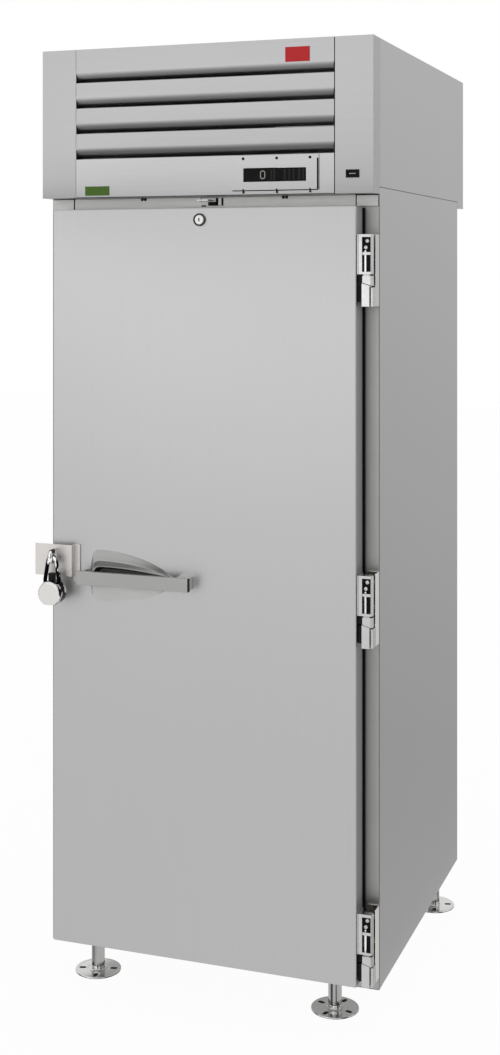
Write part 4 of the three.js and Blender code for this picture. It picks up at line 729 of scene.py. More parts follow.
class FRIDGE_OT_cabinet(bpy.types.Operator):
    """Build the cabinet's folded skin and its lock keeper, and finish its front and its lining"""
    bl_idname = "fridge.cabinet"
    bl_label = "Cabinet"

    def execute(self, context):
        low, high = span("cabinet_outer_shell")
        dress(folded_skin("cabinet_skin", low, high, low.y, 2.5), "door_steel", node="cabinet_outer_shell")
        places = [(x, high.y, z) for x in (-340, -115, 115, 340) for z in (60, 800, 1560)]
        piece("cabinet_back_screws", screws(places, BACK, 4.5, 2.4), "satin_steel", slot="stainless")
        places = [(x, -4.1, 1597.0) for x in (-152.5, -145.5, 162.5, 169.5)]
        piece("header_screws", screws(places, FRONT, 3.4, 1.8), "dark_screws")

        # The front frame wears the painted shade.
        refinish("frame_steel", "cabinet_face_frame")
        # The header trim and its stubs wear the painted light.
        piece("header_trim", blocks(((-310.2, -4.2, 1577.5), (318, -2.6, 1599.4), 0.4)), "header_steel")
        piece("header_stubs", blocks(
            ((319.6, -9.0, 1576.6), (363.4, -2.8, 1598.4), 0.6),
            ((-361.5, -4.8, 1577.2), (-312.6, -2.8, 1599.0), 0.4)), "header_steel")
        # Black strips of painted shade in the gaps round the stubs.
        piece("header_stub_painted_shade", blocks(
            ((317.2, -8.6, 1575.0), (319.8, -2.8, 1599.0), 0.3),
            ((317.2, -8.6, 1598.2), (364.0, -2.8, 1600.2), 0.3),
            ((-312.8, -4.6, 1577.4), (-310.0, -2.8, 1599.6), 0.2),
            ((-361.5, -4.6, 1598.8), (-310.0, -2.8, 1600.2), 0.2)), "black_plastic")
        # Black breaker strips beside the opening, also painted shade: their black stands in for the shade in the gap
        # behind the door.
        piece("breaker_strips_painted_shade", blocks(
            *[((x - 4, -4.4, 26), (x + 4, -2.8, 1573), 0.4) for x in (-332, 332)]), "black_plastic")
        refinish("mill_aluminium", "cabinet_inner_liner")
        refinish("wall_foam", "cabinet_insulation")

        # Keeper: a bright tab and a bright upright, with black blocks of painted shade under and beside them.
        low, high = span("door_lock_keeper")
        shelf, foot, front, back = 1589.7, 1582.0, -7.4, -4.0
        piece("lock_keeper_plate", blocks(
            ((-16.4, front, shelf), (15.4, back, high.z), 0.4),
            ((21.2, front - 1.2, foot), (28.2, back, high.z), 0.4)),
            "bar_steel", node="door_lock_keeper", slot="polished_steel")
        piece("lock_keeper_painted_shade", blocks(*[
            ((x0, front + 0.8, z0), (x1, back, z1), 0.3) for x0, z0, x1, z1 in (
                (-2.4, foot, 21.4, shelf), (15.4, foot, 21.4, high.z), (28.2, foot, 30.6, high.z),
                (-18.6, shelf, -16.3, high.z), (-17, foot - 2, -8, foot + 1))]), "black_plastic")
        bolt_low, bolt_high = span("door_lock_bolt")
        ledge = settle("lock_keeper_ledge", blocks(
            ((bolt_low.x - 6, bolt_low.y - 3, shelf + 1), (bolt_high.x + 6, high.y - 1, shelf + 3.5), 0.4)))
        slot = cutter(bolt_low + Vector((-1, -1, 0)), bolt_high + Vector((1, 1, 60)))
        dress(cut_away(ledge, slot), "satin_steel")
        return {"FINISHED"}


class FRIDGE_OT_shelves(bpy.types.Operator):
    """Build the round-wire shelves and finish the racks that carry them"""
    bl_idname = "fridge.shelves"
    bl_label = "Shelves"

    def execute(self, context):
        refinish("satin_steel", "shelf_rack_left", "shelf_rack_right")
        wires, thick, corner = 13, 3.5, 10
        for name in ("lower", "middle", "upper"):
            low, high = span("shelf_" + name)
            left, right = low.x + thick, high.x - thick
            front, back = low.y + thick, high.y - thick
            level = low.z + thick
            path = [(right, (front + back) / 2, level)]
            for cx, cy, start in ((right - corner, back - corner, 0), (left + corner, back - corner, 90),
                                  (left + corner, front + corner, 180), (right - corner, front + corner, 270)):
                path += [(x, y, level) for x, y in arc((cx, cy), corner, start, start + 90, 8)]
            bm = bmesh.new()
            sweep(bm, path + path[:1], thick, 10, capped=False)
            bmesh.ops.remove_doubles(bm, verts=bm.verts, dist=0.2)
            for i in (1, 2):
                y = front + (back - front) * i / 3
                rod(bm, (left, y, level), (right, y, level), thick, 10)
            for i in range(1, wires + 1):
                x = low.x + (high.x - low.x) * i / (wires + 1)
                rod(bm, (x, front, high.z - 2), (x, back, high.z - 2), 2.0, 8)
            piece("wire_shelf_" + name, bm, "nickel_wire", node="shelf_" + name, smooth=50)
        return {"FINISHED"}


# ------------------------------------------------------------------ fans and coils

def fan_wheel(name, node, hub, look):
    """A fan of five twisted blades on a domed hub, about the middle of its packed wheel."""
    low, high = span(node)
    centre = (low + high) / 2
    reach = (high.x - low.x) / 2 * 0.985
    half = (high.y - low.y) / 2
    bm = bmesh.new()
    verts, edges = draw_line(bm, [
        centre + Vector((hub * 0.9 + (reach - hub * 0.9) * t, -half * 0.8, -14 * t * t))
        for t in (0, 0.25, 0.5, 0.75, 1)])
    steps = 7
    bmesh.ops.spin(bm, geom=verts + edges, cent=centre, axis=BACK, angle=math.radians(50),
                   dvec=(0, half * 1.5 / steps, 0), steps=steps)
    tips = [v for v in bm.verts if len(v.link_edges) == 2 and (v.co - centre).xz.length > reach * 0.8]
    bmesh.ops.bevel(bm, geom=tips, offset=reach * 0.13, segments=4, profile=0.5, affect="VERTICES", material=-1)
    bmesh.ops.recalc_face_normals(bm, faces=bm.faces)
    bmesh.ops.solidify(bm, geom=bm.faces[:], thickness=1.4)
    bmesh.ops.spin(bm, geom=bm.verts[:] + bm.edges[:] + bm.faces[:], cent=centre, axis=BACK,
                   angle=math.tau * 4 / 5, steps=4, use_duplicate=True)
    turn(bm, [(0, -half), (hub * 0.7, -half), (hub, -half * 0.6), (hub, half), (hub - 2.5, half),
              (hub - 2.5, -half * 0.3), (0, -half * 0.3)], centre, BACK)
    piece(name, bm, look, node, node, smooth=40)


def fan_guard(name, centre, radii, wire):
    """Rings of wire held by four spokes, standing across the Y axis."""
    bm = bmesh.new()
    for radius in radii:
        turn(bm, [(radius + a, b) for a, b in arc((0, 0), wire, 0, 360, 6)], centre, BACK, 40)
    for k in range(4):
        way = Vector((math.cos(math.radians(45 + 90 * k)), 0, math.sin(math.radians(45 + 90 * k))))
        rod(bm, centre + way * radii[0], centre + way * (radii[-1] + 4), wire, 6)
    piece(name, bm, "nickel_wire", smooth=60)


def finned_coil(name, node, fins, overhang, rows, columns):
    """A block of thin fins between two end plates, with copper return bends at both ends."""
    low, high = span(node)
    left, right = low.x + overhang, high.x - overhang
    bm = bmesh.new()
    for i in range(fins):
        x = left + 3 + (right - left - 6) * i / (fins - 1)
        block(bm, (x - 0.25, low.y + 3, low.z + 1), (x + 0.25, high.y - 3, high.z - 1))
    for x in (left, right - 1.5):
        block(bm, (x, low.y, low.z), (x + 1.5, high.y, high.z))
    piece(name, bm, "fin_aluminium", node=node, smooth=0)

    bm = bmesh.new()
    step = (high.z - low.z) / rows
    apart = (high.y - low.y) / (columns + 1)
    bulge, tube = overhang - 4.4, 4.2
    for row in range(rows):
        z = low.z + step * (row + 0.5)
        for column in range(columns):
            y = low.y + apart * (column + 1)
            rod(bm, (left - 0.5, y, z), (right + 0.5, y, z), tube, 10)
            if column % 2:
                for edge, side in ((left, -1), (right, 1)):
                    sweep(bm, [(edge + side * bulge * a, y - apart / 2 + apart / 2 * b, z)
                               for a, b in arc((0, 0), 1, -90, 90, 8)], tube, 10)
    piece(name + "_tubes", bm, "drawn_copper", smooth=50)


class FRIDGE_OT_evaporator(bpy.types.Operator):
    """Build the evaporator's fan, guard and finned coil, and finish its housing and the lamp"""
    bl_idname = "fridge.evaporator"
    bl_label = "Evaporator and lamp"

    def execute(self, context):
        refinish("mill_aluminium", "evaporator_housing")
        fan_wheel("evaporator_fan_wheel", "evaporator_fan", 22, "black_plastic")
        finned_coil("evaporator_fins", "evaporator_coil", 96, 10, 4, 4)
        low, high = span("evaporator_housing")
        centre = mid("evaporator_fan")
        centre.y = low.y - 1.4
        fan_guard("evaporator_fan_guard", centre, (24, 40, 56, 72, 86), 1.4)
        places = [(x, low.y, z) for x in (low.x + 14, low.x + 90, high.x - 90, high.x - 14)
                  for z in (low.z + 12, high.z - 12)]
        piece("evaporator_screws", screws(places, FRONT, 4, 2), "satin_steel")

        # Lamp: a crowned opal cover in a thin tray.
        low, high = span("interior_light")
        piece("lamp_cover", blocks((low, (high.x, high.y, high.z - 1.5), 5.0, 5)),
              "opal_acrylic", node="interior_light")
        piece("lamp_tray", blocks(((low.x - 3, low.y - 2, high.z - 2.2), (high.x + 3, high.y + 2, high.z), 0.6)),
              "satin_steel", slot="stainless")
        return {"FINISHED"}


# ------------------------------------------------------------------ hood

class FRIDGE_OT_hood(bpy.types.Operator):
    """Build the hood's louvred front with its two bare plates, and finish the sheets round it"""
    bl_idname = "fridge.hood"
    bl_label = "Hood"

    def execute(self, context):
        sizes = context.scene.fridge_hood
        refinish("door_steel", "hood_side_left", "hood_side_right", "hood_back")
        refinish("band_steel", "hood_top_cover", "fascia_post_left", "fascia_post_right")
        refinish("black_plastic", "cord_inlet_gland", edge=0.6)

        # Each blade hangs straight and then curls in behind the top edge of the next one.
        low, high = span("louvre_panel")
        left, right = low.x + 0.7, high.x - 3.4
        front, top, bottom = low.y, high.z, low.z
        band_depth, pitch, flat = 70.2, 53.9, sizes.blade_flat / MM
        curl = sizes.curl_radius / MM

        def hem(z):
            return [(front + 4, z - 0.4), (front + 1.2, z - 0.3), (front, z - 1.2)]

        bm = bmesh.new()
        for i in range(4):
            next_top = top - band_depth - pitch * i
            bend = next_top + pitch - flat
            lip = [(front + curl - curl * math.cos(a), bend - curl * math.sin(a))
                   for a in (math.radians(90 * k / 12) for k in range(1, 13))]
            head = hem(next_top + pitch) if i else [(front + 16, top), (front, top)]
            strip(bm, [*head, (front, bend), *lip, (front + curl + 2, bend - curl + 2)], left, right)
        controls = top - band_depth - pitch * 3
        strip(bm, [*hem(controls), (front, bottom + 1.5), (front + 0.5, bottom + 0.4), (front + 1.5, bottom),
                   (front + 26, bottom)], left, right)
        panel = sheet(settle("louvre_front", bm), 1.2)
        window_low, window_high = span("temperature_controller")
        cut_away(panel, cutter((window_low.x - 0.5, front - 4, window_low.z - 0.5),
                               (window_high.x + 0.5, front + 6, window_high.z + 0.5)))
        dress(panel, ["band_steel", "strip_steel"], "louvre_panel", "louvre_panel", smooth=35)
        seam = ORIGIN.z + (controls - 0.5) * MM
        second_finish(panel, lambda face: face.center.z < seam)

        # End cheeks in painted shade: their black stands in for the shade at the slots' ends.
        bm = bmesh.new()
        for x, end, side in ((left, low.x, -1), (right, high.x, 1)):
            inner = x - 1.2 * side
            soft_block(bm, (min(x, inner), front + 0.3, bottom + 0.3), (max(x, inner), front + 26, top - 1.5), 0.3)
            rod(bm, (x - side, front + 8, top - 8), (end, front + 8, top - 8), 2.6, 16)
        piece("louvre_cheeks", bm, "dark_primer", "louvre_panel")

        for name, x0, x1, z0, z1, thick in (("upper", 181.4, 233.2, 1868.0, 1898.0, 1.2),
                                            ("lower", -264.7, -208.5, 1604.8, 1624.3, 0.5)):
            piece(name + "_bare_plate", blocks(((x0, front - thick, z0), (x1, front, z1), thick * 0.3)),
                  name + "_enamel", "louvre_panel")

        low, high = span("hood_back")
        ends = (low.x + 12, high.x - 12)
        places = [(x, z) for x in (ends[0], 0, ends[1]) for z in (low.z + 14, high.z - 14)]
        places += [(x, z) for z in ((low.z * 2 + high.z) / 3, (low.z + high.z * 2) / 3) for x in ends]
        piece("hood_back_screws", screws([(x, high.y, z) for x, z in places], BACK, 4.5, 2.4),
              "satin_steel", slot="stainless")
        return {"FINISHED"}


# ------------------------------------------------------------------ controls

class FRIDGE_OT_controls(bpy.types.Operator):
    """Build the cover plate with its screws, the display window and the power switch"""
    bl_idname = "fridge.controls"
    bl_label = "Controls"

    def execute(self, context):
        low, high = span("control_cover")
        low.y = high.y - 2.0
        glass_low, glass_high = span("temperature_controller")
        edge = 0.4
        cover = cut_away(settle("control_cover_plate", blocks((low, high, 0.4))), cutter(
            (glass_low.x - edge, low.y - 5, glass_low.z - edge),
            (glass_high.x + edge, high.y + 5, glass_high.z + edge)))
        dress(cover, "strip_steel", "louvre_panel", "control_cover")

        # Painted shadow at the plate's right and along its foot, where the plate stands off: black strips in the gap.
        piece("control_cover_painted_shadow", blocks(
            ((high.x - 4.4, low.y - 0.15, low.z + 0.5), (high.x - 0.5, high.y - 0.1, high.z - 8), 0.3),
            ((low.x - 0.5, low.y + 0.9, low.z - 1.5), (high.x - 2, high.y + 0.25, low.z + 1.0), 0.2)),
            "black_plastic", "louvre_panel")
        bm = bmesh.new()
        for x in (91.6, 163.7, 234.3):
            screw_head(bm, (x, low.y, high.z - 6.5), FRONT, 3.0, 0.9)
            soft_block(bm, (x - 1.7, low.y - 0.3, low.z - 6.2), (x + 1.7, high.y + 0.2, low.z + 2.6), 0.5)
        piece("control_cover_screws", bm, "dark_screws", "louvre_panel")

        refinish("window_plastic", "temperature_controller")
        face = glass_low.y
        x, z, tall, wide, stroke = 133.5, 1641.0, 17.0, 11.0, 1.7
        digit = settle("display_digit", pad(
            1, (x - wide / 2, face - 0.15, z - tall / 2), (x + wide / 2, face + 0.1, z + tall / 2), 4.4, 5))
        hole = settle("cutter", pad(
            1, (x - wide / 2 + stroke, face - 2, z - tall / 2 + stroke),
            (x + wide / 2 - stroke, face + 2, z + tall / 2 - stroke), 2.6, 5))
        dress(cut_away(digit, hole), "display_light", "louvre_panel", smooth=40)
        bars = ((152, 3.0), (158, 4.5), (180.5, 4.2), (190.5, 3.6), (199.5, 3.6), (211, 5.5), (220, 3.5))
        piece("display_bars", blocks(*[
            ((at - width / 2, face - 0.12, z - 11.0), (at + width / 2, face + 0.1, z + 11.0), 0.06, 1)
            for at, width in bars]), "display_dim", "louvre_panel")

        refinish("black_plastic", "power_switch_housing", "power_rocker")
        low, middle = span("power_rocker")[0], mid("power_rocker")
        piece("switch_line", blocks(
            ((middle.x - 7, low.y - 0.05, middle.z - 1.1), (middle.x + 7, low.y + 1.6, middle.z + 0.9), 0.3)),
            "display_light", "power_rocker")
        return {"FINISHED"}


# ------------------------------------------------------------------ cooling unit on top

class FRIDGE_OT_cooling_unit(bpy.types.Operator):
    """Build the compressor, condenser, its fan and guard, and the electrical box"""
    bl_idname = "fridge.cooling_unit"
    bl_label = "Cooling unit"

    def execute(self, context):
        refinish("galvanised", "unit_base", "condenser_shroud")
        refinish("drawn_copper", "discharge_line", "suction_and_liquid_lines")
        refinish("black_enamel", "condenser_fan_motor", edge=0.8)

        low, high = span("compressor")
        x, y, z = *mid("compressor").xy, low.z
        tall, radius, bottom = high.z - low.z, (high.x - low.x) / 2 - 3, 14
        seam, spread = tall * 0.55, radius * 0.95
        bm = turn(bmesh.new(), [
            (0, bottom), (radius * 0.62, bottom), (radius * 0.86, bottom + 6), (radius * 0.97, bottom + 16),
            (radius, bottom + 28), (radius, seam - 4), (radius + 3, seam - 3), (radius + 3, seam + 3),
            (radius, seam + 4), (radius, tall - 48), (radius * 0.97, tall - 34), (radius * 0.88, tall - 20),
            (radius * 0.7, tall - 9), (radius * 0.4, tall - 2), (0, tall)], (x, y, z), UP, 56)
        soft_block(bm, (x + radius - 8, y - 26, z + 60), (x + radius + 3, y + 26, z + 112), 3, 3)
        soft_block(bm, (x - spread, y - spread, z + 10), (x + spread, y + spread, z + 15), 1.5)
        piece("compressor_can", bm, "black_enamel", node="compressor")
        bm = bmesh.new()
        for dx in (-1, 1):
            for dy in (-1, 1):
                turn(bm, [(0, 0), (9, 0), (9, 3), (7, 5), (9, 7), (9, 10), (5, 12), (0, 12)],
                     (x + dx * (spread - 12), y + dy * (spread - 12), z), UP, 20)
        piece("compressor_mounts", bm, "soft_rubber")

        finned_coil("condenser_fins", "condenser_coil", 96, 8, 6, 2)
        fan_wheel("condenser_fan_wheel", "condenser_fan", 26, "mill_aluminium")
        guard = mid("condenser_fan")
        guard.y = span("condenser_shroud")[1].y + 1.6
        fan_guard("condenser_fan_guard", guard, (42, 66, 90, 116), 1.6)

        low, high = span("electrical_box")
        bm = blocks((low + Vector((1, 1.5, 0)), high - Vector((1, 0, 1)), 1.2),
                    ((low.x, low.y, low.z + 6), (high.x, low.y + 9, high.z), 1.2))
        for x in (low.x + 8, high.x - 8):
            for z in (low.z + 14, high.z - 8):
                screw_head(bm, (x, low.y + 0.6, z), FRONT, 3.5, 0.6)
        piece("electrical_box_folded", bm, "galvanised", node="electrical_box")
        return {"FINISHED"}


# ------------------------------------------------------------------ door

# From the pull dish's left end to its widest place, and on to the point that its rings close
# in on, in mm.
DISH_SHOULDER, DISH_POCKET = 24.0, 53.4


def dish_outline(steps):
    """The pull dish's outline as a closed ring of vertices in a new drawing, at the door's face."""
    low, high = span("pull_dish")
    left, right, height = low.x, high.x, (high.z - low.z) / 2
    shoulder = left + DISH_SHOULDER
    flat = bpy.data.curves.new("dish outline", "CURVE")
    flat.resolution_u = steps
    line = flat.splines.new("BEZIER")
    corner = (left + 7.2, height * 0.68)
    crown = (left + 10.8, height)
    near = [corner[k] + (crown[k] - corner[k]) * 2 / 3 for k in (0, 1)]
    before_shoulder = shoulder + (crown[0] - shoulder) * 2 / 3
    knots = [
        ((left, 0), None, None),
        (corner, None, near),
        ((shoulder, height), [before_shoulder, height], [shoulder + 74, height]),
        ((right, 0), [right - 28, height * 0.52], [right - 28, -height * 0.52]),
        ((shoulder, -height), [shoulder + 74, -height], [before_shoulder, -height]),
        ((corner[0], -corner[1]), [near[0], -near[1]], None),
    ]
    line.bezier_points.add(len(knots) - 1)
    for knot, (place, before, after) in zip(line.bezier_points, knots):
        knot.co = (*place, 0)
        knot.handle_left_type = "FREE" if before else "VECTOR"
        knot.handle_right_type = "FREE" if after else "VECTOR"
        if before:
            knot.handle_left = (*before, 0)
        if after:
            knot.handle_right = (*after, 0)
    line.use_cyclic_u = True
    drawn = bpy.data.objects.new("dish outline", flat)
    bpy.context.scene.collection.objects.link(drawn)
    mesh = shape_of(drawn)
    bpy.data.objects.remove(drawn)
    bpy.data.curves.remove(flat)
    bm = bmesh.new()
    bm.from_mesh(mesh)
    bpy.data.meshes.remove(mesh)
    bmesh.ops.remove_doubles(bm, verts=bm.verts, dist=0.05)
    upright = Matrix.Translation((0, low.y, (low.z + high.z) / 2)) @ Matrix.Rotation(math.radians(90), 4, "X")
    bmesh.ops.transform(bm, matrix=upright, verts=bm.verts)
    return bm


def grow_rings(bm, rings, focus):
    """Pulls a closed ring through (x share, upper z share, lower z share, depth) rings round a point."""
    edges = list(bm.edges)
    before = (1.0, 1.0, 1.0, 0.0)
    for across, upper, lower, depth in rings:
        grown = bmesh.ops.extrude_edge_only(bm, edges=edges)["geom"]
        ring, edges = only(BMVert, grown), only(BMEdge, grown)
        for share, old, half in ((upper, before[1], [v for v in ring if v.co.z > focus.z]),
                                 (lower, before[2], [v for v in ring if v.co.z <= focus.z])):
            shrunk = Matrix.Diagonal((across / before[0], 1, share / old, 1))
            about = Matrix.Translation(focus) @ shrunk @ Matrix.Translation(-focus)
            deeper = Matrix.Translation((0, depth - before[3], 0))
            bmesh.ops.transform(bm, matrix=deeper @ about, verts=half)
        before = (across, upper, lower, depth)
    return edges


class FRIDGE_OT_door(bpy.types.Operator):
    """Build the door's folded skin, its pull with the dish behind it, and its lock"""
    bl_idname = "fridge.door"
    bl_label = "Door"

    def execute(self, context):
        sizes = context.scene.fridge_door
        low, high = span("door_outer_skin")
        skin = folded_skin("door_skin", low, high, high.y, sizes.edge_radius / MM)
        hole = dish_outline(sizes.dish_steps)
        bmesh.ops.contextual_create(hole, geom=list(hole.edges))
        pulled = bmesh.ops.extrude_face_region(hole, geom=list(hole.faces))["geom"]
        bmesh.ops.translate(hole, verts=only(BMVert, pulled), vec=(0, 8, 0))
        bmesh.ops.translate(hole, verts=hole.verts, vec=(0, -4, 0))
        bmesh.ops.recalc_face_normals(hole, faces=hole.faces)
        plug_low, plug_high = span("door_lock_plug")
        lock_x, lock_z = (plug_low.x + plug_high.x) / 2, (plug_low.z + plug_high.z) / 2
        lock = (lock_x, low.y, lock_z)
        bore = turn(bmesh.new(), [(0, -5), (10.8, -5), (10.8, 5), (0, 5)], lock, BACK, 40)
        bolt_low, bolt_high = span("door_lock_bolt")
        cut_away(skin, settle("dish cutter", hole), settle("lock cutter", bore),
                 cutter(bolt_low + Vector((-0.5, -0.5, 0)), bolt_high + Vector((0.5, 0.5, 6))))
        dress(skin, ["door_steel", "edge_steel"], "door", "door_outer_skin")
        # Faces that look to the hinge side take the painted shade.
        second_finish(skin, lambda face: face.normal.x > 0.7)

        dish_low, dish_high = span("pull_dish")
        focus = Vector((dish_low.x + DISH_SHOULDER + DISH_POCKET, low.y, (dish_low.z + dish_high.z) / 2))
        bm = dish_outline(sizes.dish_steps)
        inner = grow_rings(bm, [
            (0.999, 0.988, 0.988, 0.35), (0.996, 0.95, 0.93, 0.8), (0.992, 0.85, 0.78, 1.3), (0.989, 0.76, 0.64, 1.8),
            (0.986, 0.68, 0.52, 2.2), (0.985, 0.61, 0.42, 2.5), (0.984, 0.585, 0.4, 2.35), (0.983, 0.57, 0.385, 2.45),
            (0.981, 0.55, 0.375, 2.9), (0.978, 0.49, 0.36, 3.7), (0.973, 0.42, 0.35, 4.6), (0.965, 0.35, 0.34, 5.6),
            (0.955, 0.325, 0.33, 6.8), (0.945, 0.31, 0.315, 9.5), (0.935, 0.295, 0.3, 14.0), (0.92, 0.275, 0.28, 19.5),
            (0.9, 0.24, 0.25, 24.5), (0.87, 0.19, 0.2, 26.4), (0.83, 0.13, 0.14, 26.6),
        ], focus)
        bmesh.ops.triangle_fill(bm, use_beauty=True, edges=inner)
        bmesh.ops.recalc_face_normals(bm, faces=bm.faces)
        if sum(f.normal.y * f.calc_area() for f in bm.faces) > 0:
            bmesh.ops.reverse_faces(bm, faces=bm.faces)
        dish = dress(sheet(settle("pull_dish_shell", bm), 0.8), ["pressed_steel", "pocket_steel"],
                     "door", "pull_dish", smooth=50)
        # Faces deeper in the pocket than this take the painted shade.
        pocket_shade_y = ORIGIN.y + (low.y + 6.5) * MM
        second_finish(dish, lambda face: face.center.y > pocket_shade_y)

        # Foam inside the door, with a roomy pocket behind the dish.
        foam_low, foam_high = span("door_insulation")
        start = foam_low.y - 5
        foam = cut_away(
            settle("door_foam", blocks((foam_low, foam_high, 2.0))),
            cutter((dish_low.x - 4, start, dish_low.z - 4), (dish_high.x + 4, dish_high.y + 1.5, dish_high.z + 4)),
            cutter((lock_x - 14, start, lock_z - 16), (lock_x + 14, foam_low.y + 26, lock_z + 60)))
        dress(foam, "wall_foam", "door", "door_insulation")
        refinish("mill_aluminium", "door_inner_panel")

        bar_low, bar_high = span("pull_bar")
        back = bar_low.y + 10
        piece("pull_bar_steel", blocks((bar_low, (bar_high.x - 1.2, back, bar_high.z), 0.9, 3)),
              "bar_steel", "door", "pull_bar", smooth=40)
        piece("pull_bar_spacers", blocks(*[
            ((x, back - 1, bar_low.z + 1), (x_end, low.y - 0.3, bar_high.z - 1), 1.2)
            for x, x_end in ((bar_low.x, bar_low.x + 11.5), (bar_high.x - 32, bar_high.x - 2.5))]),
            "satin_steel", "door", slot="stainless", smooth=40)
        piece("pull_bar_end_cap", blocks(((bar_high.x - 2.2, bar_low.y + 0.2, bar_low.z + 0.3),
                                          (bar_high.x, back - 0.3, bar_high.z - 0.3), 0.7)), "black_plastic", "door")

        plug = settle("lock_plug", turn(bmesh.new(), [
            (0, -4.4), (8.8, -4.4), (9.9, -3.6), (10.2, -2.2), (10.2, 12), (0, 12)], lock, BACK, 40))
        cut_away(plug, cutter((lock_x - 1.3, low.y - 8, lock_z - 3.6), (lock_x + 1.3, low.y + 4, lock_z + 3.6)))
        dress(plug, "satin_steel", "lock_plug", "door_lock_plug")
        # A black block in the keyway: painted shade in the slot.
        piece("lock_keyway", blocks(
            ((lock_x - 1.5, low.y - 3.6, lock_z - 3.8), (lock_x + 1.5, low.y + 4, lock_z + 3.8), 0.2)),
            "black_plastic", "lock_plug")
        # A black ring round the proud plug: a painted dark reflection of its side.
        piece("lock_ring", turn(bmesh.new(), [
            (10.5, -0.2), (10.5, -3.4), (11.1, -4.2), (12.3, -4.2), (13.1, -3.4), (13.4, -0.2), (10.5, -0.2)],
            lock, BACK, 40), "black_enamel", "door")
        refinish("satin_steel", "door_lock_bolt", edge=0.4)
        refinish("seal_rubber", "door_gasket", edge=1.5)
        return {"FINISHED"}


# ------------------------------------------------------------------ hasp and padlock

class FRIDGE_OT_hasp(bpy.types.Operator):
    """Build the padlock and its shackle, and finish the hasp they close"""
    bl_idname = "fridge.hasp"
    bl_label = "Hasp and padlock"

    def execute(self, context):
        refinish("hasp_steel", "hasp_plate", edge=0.5)

        # A hardened ring round the staple's eye, with the same painted reflections as the shackle that hangs in it.
        shackle_low, shackle_high = span("padlock_shackle")
        hang = mid("padlock_shackle")
        piece("staple_ring", turn(bmesh.new(), [
            (7.4, -3.1), (14.6, -3.1), (15.4, -2.3), (15.4, 2.3), (14.6, 3.1), (7.4, 3.1), (7.0, 2.7),
            (7.0, -2.7), (7.4, -3.1)], (hang.x, hang.y, shackle_high.z - 2.5), RIGHT, 48), "worn_shackle", "door")

        low, high = span("padlock_body")
        radius, half, spread = (high.x - low.x) / 2 + 2.4, (high.y - low.y) / 2, 16
        x, y = (low.x + high.x) / 2, (low.y + high.y) / 2
        rim = [(radius - 5, 0), (radius - 4, 0.3), (radius - 3.4, 0.9), (radius - 2.8, 0.9),
               (radius - 1, 2.4), (radius, 4.4)]
        case = settle("padlock_case", turn(bmesh.new(), [
            (0, -half), *[(r, -half + h) for r, h in rim], *[(r, half - h) for r, h in reversed(rim)], (0, half)],
            (x, y, high.z - radius), BACK, 64))
        bores = [settle("cutter", turn(bmesh.new(), [(0, 0), (4.7, 0), (4.7, 60), (0, 60)],
                                       (x + side * spread, y, high.z - 34))) for side in (-1, 1)]
        cut_away(case, cutter((low.x - 5, low.y - 2, low.z - 14), (high.x + 5, high.y + 2, low.z - 4.4)), *bores)
        dress(case, ["padlock_steel", "worn_shackle"], "padlock_body", "padlock_body")
        # The case's rim and sides take the painted reflections.
        second_finish(case, lambda face: abs(face.normal.y) < 0.6)
        piece("padlock_collar", blocks(((x - 6.6, y - 6, high.z - 3), (x + 6.2, y + 6, high.z + 15), 1.6, 3)),
              "black_plastic", "padlock_body")

        rod_radius, bow, heel = 4.3, 9.5, shackle_low.z
        top = Vector((hang.x, hang.y, shackle_high.z - rod_radius - bow))
        line = [(-spread, heel), (-spread, heel + 32),
                *[(a, top.z + b) for a, b in arc((0, 0), bow, 170, 10, 20)],
                (spread, heel + 32), (spread, heel + 18)]
        bm = bmesh.new()
        sweep(bm, [(top.x + a, top.y, z) for a, z in line], rod_radius, 24)
        piece("shackle", bm, "worn_shackle", "padlock_shackle", "padlock_shackle", smooth=60)
        return {"FINISHED"}


# ------------------------------------------------------------------ hinges

def lean_block(bm, outline, low, high, lean, at_top):
    """Adds an upright block whose top or foot slopes down to +X, and gives its vertices."""
    verts = prism(bm, outline, low, high)
    for vert in verts:
        if abs(vert.co.z - (high if at_top else low)) < 0.01:
            vert.co.z -= lean * vert.co.x
    return verts


